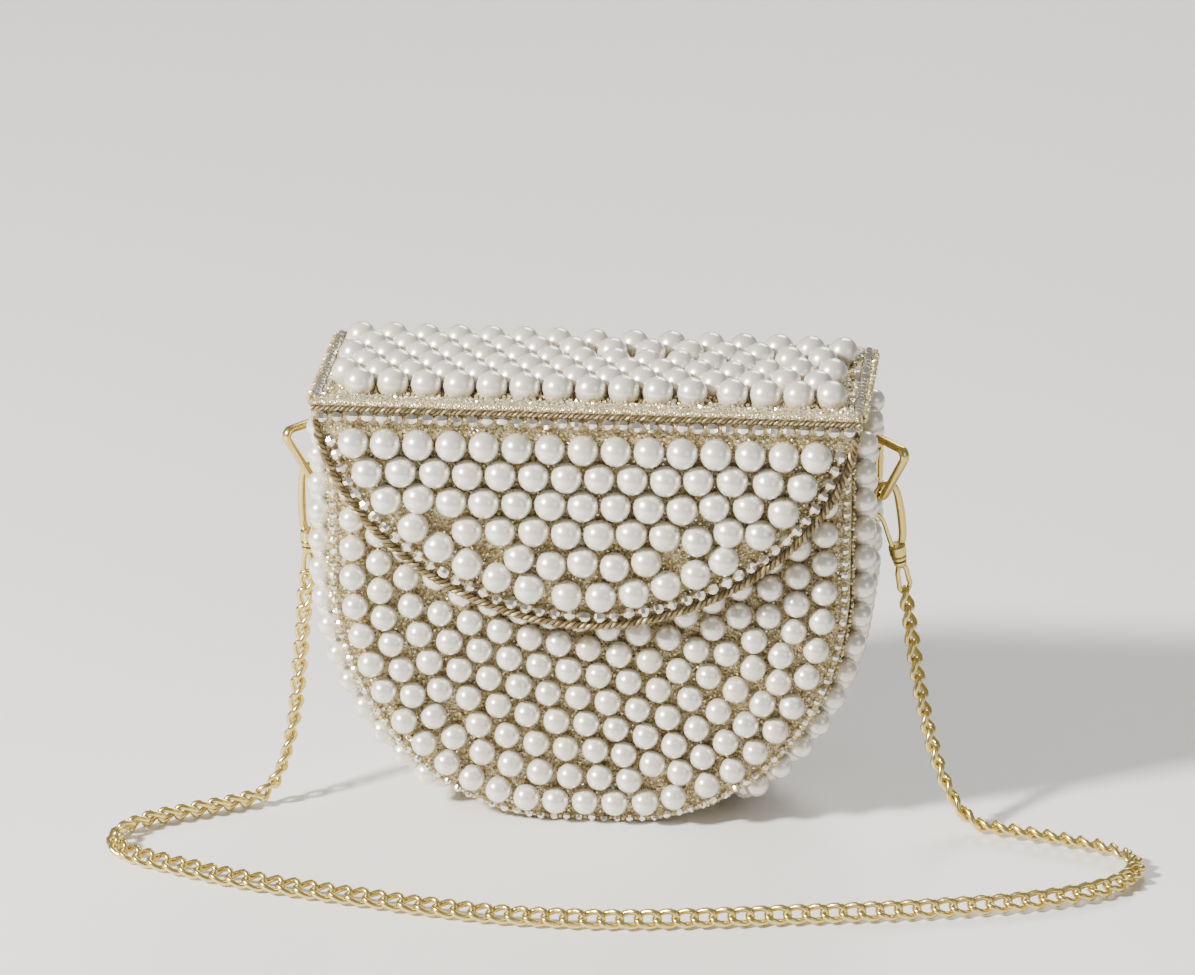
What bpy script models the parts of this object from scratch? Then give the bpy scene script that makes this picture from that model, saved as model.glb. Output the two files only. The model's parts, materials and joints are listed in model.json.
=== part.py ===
"""Pearl-beaded evening bag: half-round body, folded flap, ring and clasp at each side, chain strap.

Millimetres below, metres in the scene.  X is the width, -Y the front, +Z up, and the origin is
on the floor under the middle of the base.  Run with: blender --background --python part.py
"""
import math

import bmesh
import bpy
from mathutils import Matrix, Vector

MM = 0.001
GAP = 0.3                   # between pieces that touch

# Body
HALF_WIDTH = 86.0           # outside of the boards
BODY_DEPTH = 58.0           # front board to back board, outside
MOUTH_Z = 145.5
ARC_HEIGHT = 86.0           # the round part of the outline
BASE_FLAT = 11.0            # half-width of the flat that it stands on
BOARD = 1.6
LINING = 0.6
PEARL = 8.5                 # bead layer on the body
GUSSET_PEARL = 8.2
EDGE_BEAD = 2.8             # diameter of the bead line along the seams
BEAD_TOP = 5.5              # from the mouth down to the body's bead layers
BASE_CLEAR = 44.0           # half-width of the underside without pearls
CHANNEL = 14.0              # pearl-free strip of the gusset behind the clasp
CHANNEL_LOW = 48.3          # from the ring's top down to the end of that strip

# Inside pocket
POCKET_WIDTH = 112.0
POCKET_HEIGHT = 58.0
POCKET_Z = 66.0             # its lower edge
POCKET_THICK = 2.0
POCKET_SLOT = 0.8
POCKET_SEAM = 3.0

# Flap
FLAP_HALF_WIDTH = HALF_WIDTH + 4.0
FLAP_REACH = 10.9           # fold axis in front of the front board's outside
FLAP_LIFT = 1.7             # flap board above the mouth
FLAP_DROP = 75.0            # fold down to the tip of the front panel
FLAP_ROUND = 1.85           # exponent of the front panel's outline
FLAP_PEARL = 9.5
STRIP_RADIUS = 1.3          # bending strips at the hinge and the fold
HINGE_SETBACK = 6.5         # hinge to the top panel's pearls
FOLD_SETBACK = 4.5          # fold to the top panel's pearls
CORD = 2.6                  # twisted cord along the flap's edge
BEAD_ROW = 3.6              # faceted bead row beside it
FRONT_PEARL_DROP = 6.5      # fold down to the front panel's pearls

# Magnetic snap
SNAP_Z = MOUTH_Z - 55.5
SNAP_RADIUS = 8.5
SNAP_MALE_RADIUS = 7.5
SNAP_CLEAR = 5.0            # pearl-free ring round the male half
SNAP_GAP = 0.5
SNAP_STUD = 2.2             # radius of the post that holds each half
PLATE_RADIUS = 7.0
PLATE = 0.5

# Side rings and their tabs
RING_X = HALF_WIDTH + 6.5   # the leg that turns in the tab
RING_YAW = 48.0             # outer corner turned to the front
RING_WIDTH = 16.5
RING_TOP = MOUTH_Z - 17.2
RING_SLOPE = 0.8            # outer corner lower than the inner one
RING_POINT = RING_TOP - 26.3         # where the two long legs would meet
RING_WIRE = 1.2
RING_CORNERS = (1.6, 2.2, 2.6)      # centre-line radii: inner top, outer top, bottom
TAB_Z = (RING_TOP - 13.3, RING_TOP - 3.8)
CHANNEL_Z = RING_TOP - CHANNEL_LOW
TAB_WIDTH = 10.0
TAB_PLATE = 1.2
TAB_WALL = 0.9

# Clasps, drawn from the ring's bottom bend
HOOK_WIRE = 1.0
CLASP_AXIS = 2.4            # the clasp's long axis, outside the ring's wire
NECK_RADIUS = 2.9
NECK_TOP = -19.5
NECK_LENGTH = 6.0
SLOT_WIDTH = 2.6
SLOT_DEPTH = 3.7
SLOT_END = 0.9              # past the clasp's axis
RIVET_RADIUS = 0.6
RIVET_OFFSET = 0.9
GATE_THICK = 1.0
GATE_WIRE = 0.55
FOOT_RADIUS = 1.5
SPRING_WIRE = 0.13
SPRING_RADIUS = 1.05
SPRING_TURNS = 1.5
SPRING_PITCH = 0.32
STEM_RADIUS = 0.8
STEM_DEPTH = 1.8
EYE_HALF_WIDTH = 3.2
EYE_LENGTH = 12.5
EYE_WIRE = 0.9
LEAN = {"left": 4.0, "right": 14.0}     # pulled outwards by the chain

# Chain strap, as it lies
CHAIN = 7.0
CHAIN_STEP = 2.0            # tube points, in diameters
CHAIN_LIFT = 0.05           # clear of the floor
CHAIN_PART = 0.2            # taken off each end where two stretches meet
CHAIN_FOR = (92.5, 128.3)   # RING_X and RING_TOP that the points below are given for
CHAIN_END = (98.1, 69.5)    # where the strap meets the clasp's eye
CHAIN_LEFT_DROP = [
    (-98.1, 1.3, 69.5), (-99.0, -0.8, 60.4), (-99.7, -6.0, 46.0),
    (-100.4, -13.0, 31.5), (-101.9, -18.6, 20.6), (-104.2, -23.0, 12.4), (-107.8, -26.6, 6.4)]
CHAIN_FLOOR = [
    (-113.4, -30.2), (-122.0, -36.0), (-134.0, -43.6), (-144.4, -50.6), (-150.9, -57.8),
    (-153.2, -66.6), (-150.6, -75.6), (-142.6, -82.4), (-127.0, -89.8), (-108.0, -97.4),
    (-87.0, -103.4), (-66.0, -108.6), (-44.0, -113.8), (-18.0, -118.2), (14.0, -118.8),
    (45.0, -114.6), (72.0, -109.4), (98.0, -104.4), (121.0, -99.0), (145.0, -92.0),
    (165.0, -83.0), (178.6, -71.6), (182.6, -57.8), (175.4, -46.6), (160.0, -39.4),
    (145.0, -34.4), (132.4, -30.2)]
CHAIN_RIGHT_DROP = [
    (124.4, -26.9, 7.2), (118.2, -22.6, 15.8), (113.8, -17.8, 26.0), (110.4, -12.2, 36.8),
    (107.4, -6.0, 48.4), (104.8, 1.2, 60.4), (103.0, 5.4, 69.6)]

OUTSIDE_Y = BODY_DEPTH / 2
FOLD_Y = -OUTSIDE_Y - FLAP_REACH
FOLD_Z = MOUTH_Z + FLAP_LIFT + BOARD / 2
HINGE_Y = OUTSIDE_Y - GAP
GUSSET_HALF = OUTSIDE_Y - BOARD - GAP
RING_DIRECTION = {"left": 180.0 + RING_YAW, "right": -RING_YAW}
CLASP_DIRECTION = {"left": 90.0 + RING_YAW, "right": 90.0 - RING_YAW}
SIDES = {"left": -1, "right": 1}


# ---------------------------------------------------------------- scene and materials

def clear_scene():
    for thing in list(bpy.data.objects):
        bpy.data.objects.remove(thing, do_unlink=True)


def new_collection(name):
    collection = bpy.data.collections.new(name)
    bpy.context.scene.collection.children.link(collection)
    return collection


def finish(name, colour, roughness, metallic=0.0):
    material = bpy.data.materials.new(name)
    material.use_nodes = True
    shader = material.node_tree.nodes["Principled BSDF"]
    shader.inputs["Base Color"].default_value = (*colour, 1.0)
    shader.inputs["Roughness"].default_value = roughness
    shader.inputs["Metallic"].default_value = metallic
    return material


clear_scene()
BAG = new_collection("pearl_evening_bag")
CUTTERS = new_collection("cutters")

PEARLS = finish("pearl_layer", (0.72, 0.70, 0.62), 0.25)
GLITTER = finish("gold_mesh_board", (0.50, 0.38, 0.22), 0.55, 0.4)
SATIN = finish("cream_lining", (0.72, 0.62, 0.47), 0.5)
STRIP = finish("bending_strip", (0.45, 0.34, 0.20), 0.6)
SILVER = finish("silver_beads", (0.55, 0.52, 0.44), 0.3, 0.9)
ANTIQUE = finish("antique_cord", (0.36, 0.30, 0.20), 0.45, 0.6)
GOLD = finish("gold_hardware", (0.80, 0.58, 0.24), 0.22, 1.0)
STEEL = finish("snap_steel", (0.62, 0.60, 0.55), 0.3, 1.0)


# ---------------------------------------------------------------- placing and making

def place(thing, collection, name, parent, material):
    thing.name = name
    thing.data.name = name
    for other in list(thing.users_collection):
        other.objects.unlink(thing)
    collection.objects.link(thing)
    if material:
        thing.data.materials.clear()
        thing.data.materials.append(material)
    if parent:
        bpy.context.view_layer.update()
        thing.parent = parent
        thing.matrix_parent_inverse = parent.matrix_world.inverted()
    return thing


def axis_empty(name, location, rotation=(0.0, 0.0, 0.0), parent=None):
    """An empty on a joint's axis, with location in mm and rotation in degrees."""
    empty = bpy.data.objects.new(name, None)
    empty.empty_display_size = 0.01
    empty.location = Vector(location) * MM
    empty.rotation_euler = [math.radians(angle) for angle in rotation]
    BAG.objects.link(empty)
    bpy.context.view_layer.update()
    if parent:
        empty.parent = parent
        empty.matrix_parent_inverse = parent.matrix_world.inverted()
        bpy.context.view_layer.update()
    return empty


def as_mesh(curve_object):
    """The curve object as a closed mesh, in the same place."""
    bpy.context.view_layer.update()
    evaluated = curve_object.evaluated_get(bpy.context.evaluated_depsgraph_get())
    mesh = bpy.data.meshes.new_from_object(evaluated)
    shape = bmesh.new()
    shape.from_mesh(mesh)
    bmesh.ops.remove_doubles(shape, verts=shape.verts, dist=0.000002)
    bmesh.ops.recalc_face_normals(shape, faces=shape.faces)
    shape.to_mesh(mesh)
    shape.free()
    solid = bpy.data.objects.new(curve_object.name + "_mesh", mesh)
    solid.matrix_world = curve_object.matrix_world.copy()
    bpy.data.objects.remove(curve_object, do_unlink=True)
    return solid


def curve_object(points, dimensions, closed):
    curve = bpy.data.curves.new("outline", "CURVE")
    curve.dimensions = dimensions
    spline = curve.splines.new("POLY")
    spline.points.add(len(points) - 1)
    for slot, point in zip(spline.points, points):
        slot.co = (*(value * MM for value in point), 1.0)
    spline.use_cyclic_u = closed
    thing = bpy.data.objects.new("outline", curve)
    BAG.objects.link(thing)
    return thing


def plate(name, outline, y_low, y_high, material, parent=None, collection=None):
    """A flat outline in (x, z), filled between two depths."""
    thing = curve_object([(x, z, 0.0) for x, z in outline], "2D", True)
    thing.data.fill_mode = "BOTH"
    thing.data.extrude = (y_high - y_low) / 2 * MM
    thing.rotation_euler = (math.pi / 2, 0.0, 0.0)
    thing.location = (0.0, (y_low + y_high) / 2 * MM, 0.0)
    return place(as_mesh(thing), collection or BAG, name, parent, material)


def tube(name, points, radius, material, parent=None, closed=False, sides=2, frame=None):
    """A round wire or cord through the points, which frame may place."""
    thing = curve_object(points, "3D", closed)
    thing.data.bevel_depth = radius * MM
    thing.data.bevel_resolution = sides
    thing.data.use_fill_caps = not closed
    if frame is not None:
        thing.matrix_world = frame
    solid = place(as_mesh(thing), BAG, name, parent, material)
    solid.data.shade_smooth()
    solid.data.set_sharp_from_angle(angle=math.radians(40))
    return solid


def box(name, low, high, material=None, parent=None, collection=None):
    bpy.ops.mesh.primitive_cube_add(size=1.0)
    thing = bpy.context.object
    low, high = Vector(low), Vector(high)
    thing.data.transform(Matrix.Diagonal((*((high - low) * MM), 1.0)))
    thing.location = (low + high) / 2 * MM
    return place(thing, collection or BAG, name, parent, material)


def rod(name, start, end, radius, material=None, parent=None, collection=None, sides=24):
    """A cylinder between two points."""
    start, end = Vector(start), Vector(end)
    bpy.ops.mesh.primitive_cylinder_add(vertices=sides, radius=radius * MM,
                                        depth=(end - start).length * MM)
    thing = bpy.context.object
    thing.matrix_world = (Matrix.Translation((start + end) / 2 * MM)
                          @ (end - start).to_track_quat("Z", "Y").to_matrix().to_4x4())
    return place(thing, collection or BAG, name, parent, material)


def turned(name, profile, centre_z, start_y, material, parent=None):
    """A turned piece whose axis runs along -Y; profile is (radius, distance from start_y)."""
    line = bpy.data.meshes.new(name)
    points = [(radius * MM, 0.0, -reach * MM) for radius, reach in profile]
    line.from_pydata(points, [(i, i + 1) for i in range(len(points) - 1)], [])
    thing = bpy.data.objects.new(name, line)
    BAG.objects.link(thing)
    screw = thing.modifiers.new("turn", "SCREW")
    screw.steps = screw.render_steps = 32
    screw.use_merge_vertices = True
    screw.merge_threshold = 0.00001
    thing.rotation_euler = (-math.pi / 2, 0.0, 0.0)
    thing.location = (0.0, start_y * MM, centre_z * MM)
    return place(thing, BAG, name, parent, material)


def boolean(piece, cutter, operation):
    step = piece.modifiers.new(operation.lower(), "BOOLEAN")
    step.operation = operation
    step.object = cutter
    step.solver = "EXACT"
    cutter.hide_render = True
    cutter.display_type = "WIRE"


def cut(piece, *cutters):
    for cutter in cutters:
        boolean(piece, cutter, "DIFFERENCE")


def join(piece, *additions):
    for addition in additions:
        boolean(piece, addition, "UNION")


# ---------------------------------------------------------------- outlines

def half_outline(inset, top, steps=20):
    """Right half of the body's outline, base to mouth, moved inwards by inset."""
    across = HALF_WIDTH - BASE_FLAT
    points = []
    for step in range(steps + 1):
        turn = math.radians(-90 + 90 * step / steps)
        normal = Vector((math.cos(turn) / across, math.sin(turn) / ARC_HEIGHT)).normalized()
        points.append((BASE_FLAT + across * math.cos(turn) - normal.x * inset,
                       ARC_HEIGHT + ARC_HEIGHT * math.sin(turn) - normal.y * inset))
    points.append((HALF_WIDTH - inset, top))
    return points


def body_line(inset, top):
    """The body's outline from the left of the mouth, down and round to the right."""
    right = half_outline(inset, top)
    return [(-x, z) for x, z in reversed(right)] + right


def band(inner, outer, top):
    """A strip of even thickness along the body's outline."""
    return body_line(outer, top) + list(reversed(body_line(inner, top)))


def flap_line(inset, start_drop=0.0, steps=28):
    """The front panel's lower edge, from left to right, below the fold."""
    across = FLAP_HALF_WIDTH - inset
    down = FLAP_DROP - inset
    power = 2 / FLAP_ROUND
    points = []
    for step in range(steps + 1):
        turn = math.pi * step / steps
        x = -across * math.copysign(abs(math.cos(turn)) ** power, math.cos(turn))
        drop = down * abs(math.sin(turn)) ** power
        if drop > start_drop:
            points.append((x, FOLD_Z - drop))
    edge = across * (1 - (start_drop / down) ** FLAP_ROUND) ** (1 / FLAP_ROUND)
    level = FOLD_Z - start_drop
    return [(-edge, level)] + points + [(edge, level)]


def rounded(corners, radii, steps=6):
    """A closed path through the corners, each turned by an arc of its own radius."""
    path = []
    count = len(corners)
    for index, radius in enumerate(radii):
        here = Vector(corners[index])
        back = (Vector(corners[index - 1]) - here).normalized()
        ahead = (Vector(corners[(index + 1) % count]) - here).normalized()
        half = back.angle(ahead) / 2
        centre = here + (back + ahead).normalized() * radius / math.sin(half)
        first = here + back * radius / math.tan(half) - centre
        last = here + ahead * radius / math.tan(half) - centre
        sweep = first.angle_signed(last)
        for step in range(steps + 1):
            turn = -sweep * step / steps
            spoke = Matrix.Rotation(turn, 2) @ first
            path.append(tuple(centre + spoke))
    return path


def smooth_route(points, spacing):
    """Points at even steps along a smooth curve through the route's points."""
    route = [Vector(point) for point in points]
    route = [2 * route[0] - route[1]] + route + [2 * route[-1] - route[-2]]
    fine = []
    for before, start, end, after in zip(route, route[1:], route[2:], route[3:]):
        for step in range(24):
            t = step / 24
            fine.append(0.5 * (2 * start + (end - before) * t
                               + (2 * before - 5 * start + 4 * end - after) * t ** 2
                               + (3 * start - before - 3 * end + after) * t ** 3))
    fine.append(route[-2])
    runs = [0.0]
    for here, there in zip(fine, fine[1:]):
        runs.append(runs[-1] + (there - here).length)
    count = max(2, round(runs[-1] / spacing))
    picked = []
    index = 0
    for step in range(count + 1):
        target = runs[-1] * step / count
        while index < len(runs) - 2 and runs[index + 1] < target:
            index += 1
        share = (target - runs[index]) / (runs[index + 1] - runs[index])
        picked.append(fine[index].lerp(fine[index + 1], min(1.0, share)))
    return picked


# ---------------------------------------------------------------- body

def body_shell():
    inner_y = OUTSIDE_Y - BOARD
    front = plate("front_board", body_line(0.0, MOUTH_Z), -OUTSIDE_Y, -inner_y, GLITTER)
    plate("back_board", body_line(0.0, MOUTH_Z), inner_y, OUTSIDE_Y, GLITTER)
    plate("gusset_board", band(0.0, BOARD, MOUTH_Z), -GUSSET_HALF, GUSSET_HALF, GLITTER)
    post_hole = rod("front_post_hole", (0, -OUTSIDE_Y - 1, SNAP_Z), (0, -inner_y + 1, SNAP_Z),
                    SNAP_STUD + GAP, collection=CUTTERS)
    recess = rod("front_plate_recess", (0, -inner_y - PLATE - GAP, SNAP_Z),
                 (0, -inner_y + 1, SNAP_Z), PLATE_RADIUS + GAP, collection=CUTTERS, sides=32)
    cut(front, post_hole, recess)


def body_lining():
    side = BOARD + GAP
    panel = side + LINING + GAP
    top = MOUTH_Z - 0.8
    plate("gusset_lining", band(side, side + LINING, top), -GUSSET_HALF, GUSSET_HALF, SATIN)
    outer = GUSSET_HALF
    plate("front_lining", body_line(panel, top), -outer, -outer + LINING, SATIN)
    plate("back_lining", body_line(panel, top), outer - LINING, outer, SATIN)
    back = outer - LINING - GAP
    front = back - POCKET_THICK
    half = POCKET_WIDTH / 2
    pocket = box("inner_pocket", (-half, front, POCKET_Z), (half, back, POCKET_Z + POCKET_HEIGHT),
                 SATIN)
    middle = (front + back) / 2
    slot = box("pocket_slot", (-half + POCKET_SEAM, middle - POCKET_SLOT / 2, POCKET_Z + POCKET_SEAM),
               (half - POCKET_SEAM, middle + POCKET_SLOT / 2, POCKET_Z + POCKET_HEIGHT + 5),
               collection=CUTTERS)
    cut(pocket, slot)


def body_beadwork():
    inset = EDGE_BEAD + 2 * GAP
    top = MOUTH_Z - BEAD_TOP
    near = OUTSIDE_Y + GAP
    front = plate("front_beadwork", body_line(inset, top), -near - PEARL, -near, PEARLS)
    plate("back_beadwork", body_line(inset, top), near, near + PEARL, PEARLS)
    window = rod("snap_window", (0, -near - PEARL - 1, SNAP_Z), (0, -near + 1, SNAP_Z),
                 SNAP_MALE_RADIUS + SNAP_CLEAR, collection=CUTTERS, sides=32)
    cut(front, window)
    for side, sign in SIDES.items():
        gusset_beadwork(side, sign, top)


def gusset_beadwork(side, sign, top):
    """The pearl layer on one side of the gusset, from near the base to the mouth."""
    inner = half_outline(-GAP, top)
    outer = half_outline(-GAP - GUSSET_PEARL, top)
    keep = [index for index, point in enumerate(inner) if point[0] > BASE_CLEAR]
    line = [outer[index] for index in keep] + [inner[index] for index in reversed(keep)]
    half = GUSSET_HALF - 1.5
    piece = plate(f"gusset_beadwork_{side}", [(sign * x, z) for x, z in line], -half, half, PEARLS)
    near = HALF_WIDTH - 2
    far = HALF_WIDTH + GUSSET_PEARL + 2
    low, high = sorted((sign * near, sign * far))
    channel = box(f"clasp_channel_{side}", (low, -CHANNEL / 2, CHANNEL_Z),
                  (high, CHANNEL / 2, MOUTH_Z + 2), collection=CUTTERS)
    cut(piece, channel)


def body_trim():
    """A line of small beads along each seam of the body."""
    radius = EDGE_BEAD / 2
    depth = OUTSIDE_Y + GAP + radius
    for name, sign in (("front_edge_beads", -1), ("back_edge_beads", 1)):
        line = body_line(radius + 0.2, MOUTH_Z - 2)
        tube(name, [(x, sign * depth, z) for x, z in line], radius, SILVER, sides=1)
    mouth = MOUTH_Z - 2
    reach = HALF_WIDTH - EDGE_BEAD - GAP - 0.5
    tube("back_mouth_beads", [(-reach, depth, mouth), (reach, depth, mouth)], radius, SILVER)


# ---------------------------------------------------------------- flap

def flap(hinge, fold):
    reach = STRIP_RADIUS + GAP
    back = HINGE_Y - reach
    front = FOLD_Y + reach
    low = FOLD_Z - BOARD / 2
    high = FOLD_Z + BOARD / 2
    half = FLAP_HALF_WIDTH
    rod("flap_hinge_strip", (-half, HINGE_Y, FOLD_Z), (half, HINGE_Y, FOLD_Z), STRIP_RADIUS, STRIP,
        sides=16)
    rod("flap_fold_strip", (-half, FOLD_Y, FOLD_Z), (half, FOLD_Y, FOLD_Z), STRIP_RADIUS, STRIP,
        hinge, sides=16)
    box("flap_top_board", (-half, front, low), (half, back, high), GLITTER, hinge)
    box("flap_top_lining", (-half + 1, front + 0.2, low - GAP - LINING),
        (half - 1, back, low - GAP), SATIN, hinge)
    trim = BEAD_ROW + 3 * GAP
    box("flap_top_beadwork", (-half + trim, FOLD_Y + FOLD_SETBACK, high + GAP),
        (half - trim, HINGE_Y - HINGE_SETBACK, high + GAP + FLAP_PEARL), PEARLS, hinge)
    for side, sign in SIDES.items():
        line_x = sign * (half - BEAD_ROW / 2 - GAP)
        line_z = high + GAP + BEAD_ROW / 2
        tube(f"flap_side_beads_{side}", [(line_x, FOLD_Y + 3, line_z), (line_x, back - 1, line_z)],
             BEAD_ROW / 2, SILVER, hinge)
    front_panel(fold, reach)


def front_panel(fold, reach):
    outside = FOLD_Y - BOARD / 2
    inside = FOLD_Y + BOARD / 2
    board = plate("flap_front_board", flap_line(0.0, reach), outside, inside, GLITTER, fold)
    lining = plate("flap_front_lining", flap_line(1.0, reach + 0.4), inside + GAP,
                   inside + GAP + LINING, SATIN, fold)
    pearl_inset = CORD + BEAD_ROW + 4 * GAP
    plate("flap_front_beadwork", flap_line(pearl_inset, FRONT_PEARL_DROP),
          outside - GAP - FLAP_PEARL, outside - GAP, PEARLS, fold)
    post_hole = rod("flap_post_hole", (0, outside - 1, SNAP_Z), (0, inside + 3, SNAP_Z),
                    SNAP_STUD + GAP, collection=CUTTERS)
    recess = rod("flap_plate_recess", (0, outside - 1, SNAP_Z), (0, outside + PLATE + GAP, SNAP_Z),
                 PLATE_RADIUS + GAP, collection=CUTTERS, sides=32)
    cut(board, post_hole, recess)
    cut(lining, post_hole)
    flap_trim(fold, outside)


def flap_trim(fold, outside):
    cord = CORD / 2
    bead = BEAD_ROW / 2
    start = 5 * GAP + CORD + BEAD_ROW
    edge = [(x, outside - GAP - cord, z) for x, z in flap_line(cord + 0.2, start)]
    tube("flap_edge_cord", edge, cord, ANTIQUE, fold)
    inset = CORD + GAP + bead + 0.2
    row = [(x, outside - GAP - bead, z) for x, z in flap_line(inset, start + 1.0)]
    tube("flap_edge_beads", row, bead, SILVER, fold)
    reach = FLAP_HALF_WIDTH - 0.5
    fold_y = FOLD_Y - STRIP_RADIUS - GAP - cord
    level = FOLD_Z - 0.6
    tube("fold_cord", [(-reach, fold_y, level), (reach, fold_y, level)], cord, ANTIQUE, fold)
    level -= cord + GAP + bead
    reach -= 1.0
    tube("fold_beads", [(-reach, fold_y, level), (reach, fold_y, level)], bead, SILVER, fold)


def magnetic_snap(fold):
    """Two magnetic discs, each held by a post through its board to a plate behind."""
    female_y = -OUTSIDE_Y - GAP
    lining_face = FOLD_Y + BOARD / 2 + GAP + LINING + GAP
    space = female_y - lining_face
    thick = (space - SNAP_GAP) / 2
    post = BOARD - PLATE
    female = [(0.0, thick + post), (SNAP_RADIUS - 0.6, thick + post), (SNAP_RADIUS, thick + post - 0.6),
              (SNAP_RADIUS, post), (SNAP_STUD, post), (SNAP_STUD, 0.0), (0.0, 0.0)]
    turned("snap_female", list(reversed(female)), SNAP_Z, female_y + post, STEEL)
    sleeve = BOARD - PLATE + LINING + GAP
    male = [(0.0, 0.0), (SNAP_MALE_RADIUS - 0.6, 0.0), (SNAP_MALE_RADIUS, 0.6),
            (SNAP_MALE_RADIUS, thick), (SNAP_STUD, thick), (SNAP_STUD, thick + sleeve),
            (0.0, thick + sleeve)]
    turned("snap_male", male, SNAP_Z, lining_face + thick, STEEL, fold)
    inner = -OUTSIDE_Y + BOARD
    rod("snap_female_plate", (0, inner - PLATE, SNAP_Z), (0, inner, SNAP_Z), PLATE_RADIUS, STEEL,
        sides=32)
    outer = FOLD_Y - BOARD / 2
    rod("snap_male_plate", (0, outer, SNAP_Z), (0, outer + PLATE, SNAP_Z), PLATE_RADIUS, STEEL,
        fold, sides=32)


# ---------------------------------------------------------------- rings and clasps

def ring_tab(side, sign):
    """A metal tab on the gusset whose barrel holds the ring's upright leg."""
    low, high = TAB_Z
    start = HALF_WIDTH + GAP
    barrel = RING_WIRE + GAP + TAB_WALL
    near, far = sorted((sign * start, sign * (start + TAB_PLATE)))
    tab = box(f"ring_tab_{side}", (near, -TAB_WIDTH / 2, low - 1.5), (far, TAB_WIDTH / 2, high + 1.5),
              GOLD)
    near, far = sorted((sign * (start + TAB_PLATE / 2), sign * RING_X))
    web = box(f"tab_web_{side}", (near, -barrel / 2, low), (far, barrel / 2, high), collection=CUTTERS)
    sleeve = rod(f"tab_barrel_{side}", (sign * RING_X, 0, low), (sign * RING_X, 0, high), barrel,
                 collection=CUTTERS)
    bore = rod(f"tab_bore_{side}", (sign * RING_X, 0, low - 3), (sign * RING_X, 0, high + 3),
               RING_WIRE + GAP, collection=CUTTERS)
    join(tab, web, sleeve)
    cut(tab, bore)


def ring(side, axis):
    corners = [(0.0, RING_TOP), (RING_WIDTH, RING_TOP - RING_SLOPE), (0.0, RING_POINT)]
    path = [(x, 0.0, z) for x, z in rounded(corners, RING_CORNERS)]
    tube(f"ring_{side}", path, RING_WIRE, GOLD, axis, closed=True, frame=axis.matrix_world)


def ring_bend():
    """Distance from the ring's leg and height of the centre of its bottom bend."""
    lean = math.atan2(RING_WIDTH, RING_TOP - RING_SLOPE - RING_POINT)
    radius = RING_CORNERS[2]
    centre = radius / math.sin(lean / 2)
    return radius, RING_POINT + centre * math.cos(lean / 2) - radius


def local_rod(name, frame, start, end, radius, sides=24, collection=None, material=None, parent=None):
    """A cylinder given in a clasp's own frame."""
    piece = rod(name, start, end, radius, material, None, collection, sides)
    piece.matrix_world = frame @ piece.matrix_world
    if parent:
        bpy.context.view_layer.update()
        piece.parent = parent
        piece.matrix_parent_inverse = parent.matrix_world.inverted()
    return piece


def local_box(name, frame, low, high):
    piece = box(name, low, high, collection=CUTTERS)
    bpy.context.view_layer.update()
    piece.matrix_world = frame @ piece.matrix_world
    return piece


def claw(side, clasp):
    """The hook, its spine and the slotted neck."""
    frame = clasp.matrix_world
    hook = [(CLASP_AXIS + 1.8, NECK_TOP - 1.1), (CLASP_AXIS + 3.4, NECK_TOP + 2.5), (CLASP_AXIS + 4.2, -10.5),
            (CLASP_AXIS + 4.3, -6.0), (CLASP_AXIS + 4.2, -1.8), (CLASP_AXIS + 3.4, 1.2),
            (CLASP_AXIS + 1.5, 3.0), (CLASP_AXIS - 0.8, 3.5), (0.0, 3.0), (-1.9, 1.9),
            (-2.9, 0.0), (-3.1, -1.8), (-3.1, -3.4)]
    route = smooth_route([(x, 0.0, z) for x, z in hook], 1.2)
    piece = tube(f"claw_{side}", route, HOOK_WIRE, GOLD, clasp, frame=frame)
    bottom = NECK_TOP - NECK_LENGTH
    neck = local_rod(f"neck_{side}", frame, (CLASP_AXIS, 0, bottom), (CLASP_AXIS, 0, NECK_TOP),
                     NECK_RADIUS, collection=CUTTERS)
    slot = local_box(f"gate_slot_{side}", frame,
                     (CLASP_AXIS - 4, -SLOT_WIDTH / 2, NECK_TOP - SLOT_DEPTH),
                     (CLASP_AXIS + SLOT_END, SLOT_WIDTH / 2, NECK_TOP + 2))
    rivet_x, rivet_z = rivet_place()
    hole = local_rod(f"rivet_hole_{side}", frame, (rivet_x, -4, rivet_z), (rivet_x, 4, rivet_z),
                     RIVET_RADIUS + GAP, collection=CUTTERS)
    bore = local_rod(f"stem_bore_{side}", frame, (CLASP_AXIS, 0, bottom - 2),
                     (CLASP_AXIS, 0, bottom + STEM_DEPTH + GAP), STEM_RADIUS + GAP, collection=CUTTERS)
    join(piece, neck)
    cut(piece, slot, hole, bore)
    return piece


def rivet_place():
    return CLASP_AXIS - RIVET_OFFSET, NECK_TOP - SLOT_DEPTH / 2


def gate(side, clasp, pivot):
    """The spring lever that closes the hook, with a thumb curl at its end."""
    frame = clasp.matrix_world
    rivet_x, rivet_z = rivet_place()
    foot_low = -SLOT_WIDTH / 2 + GAP
    middle = foot_low + GATE_THICK / 2
    lever = [(rivet_x - 0.3, rivet_z + 0.6), (rivet_x - 1.3, rivet_z + 4.0), (-1.0, -8.8), (-2.8, -5.4),
             (-3.9, -5.2), (-4.6, -6.3), (-4.2, -7.4)]
    route = smooth_route([(x, middle, z) for x, z in lever], 0.9)
    piece = tube(f"gate_{side}", route, GATE_WIRE, GOLD, pivot, frame=frame)
    foot = local_rod(f"gate_foot_{side}", frame, (rivet_x, foot_low, rivet_z),
                     (rivet_x, foot_low + GATE_THICK, rivet_z), FOOT_RADIUS, collection=CUTTERS)
    hole = local_rod(f"gate_hole_{side}", frame, (rivet_x, -4, rivet_z), (rivet_x, 4, rivet_z),
                     RIVET_RADIUS + GAP, collection=CUTTERS)
    join(piece, foot)
    cut(piece, hole)


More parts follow.
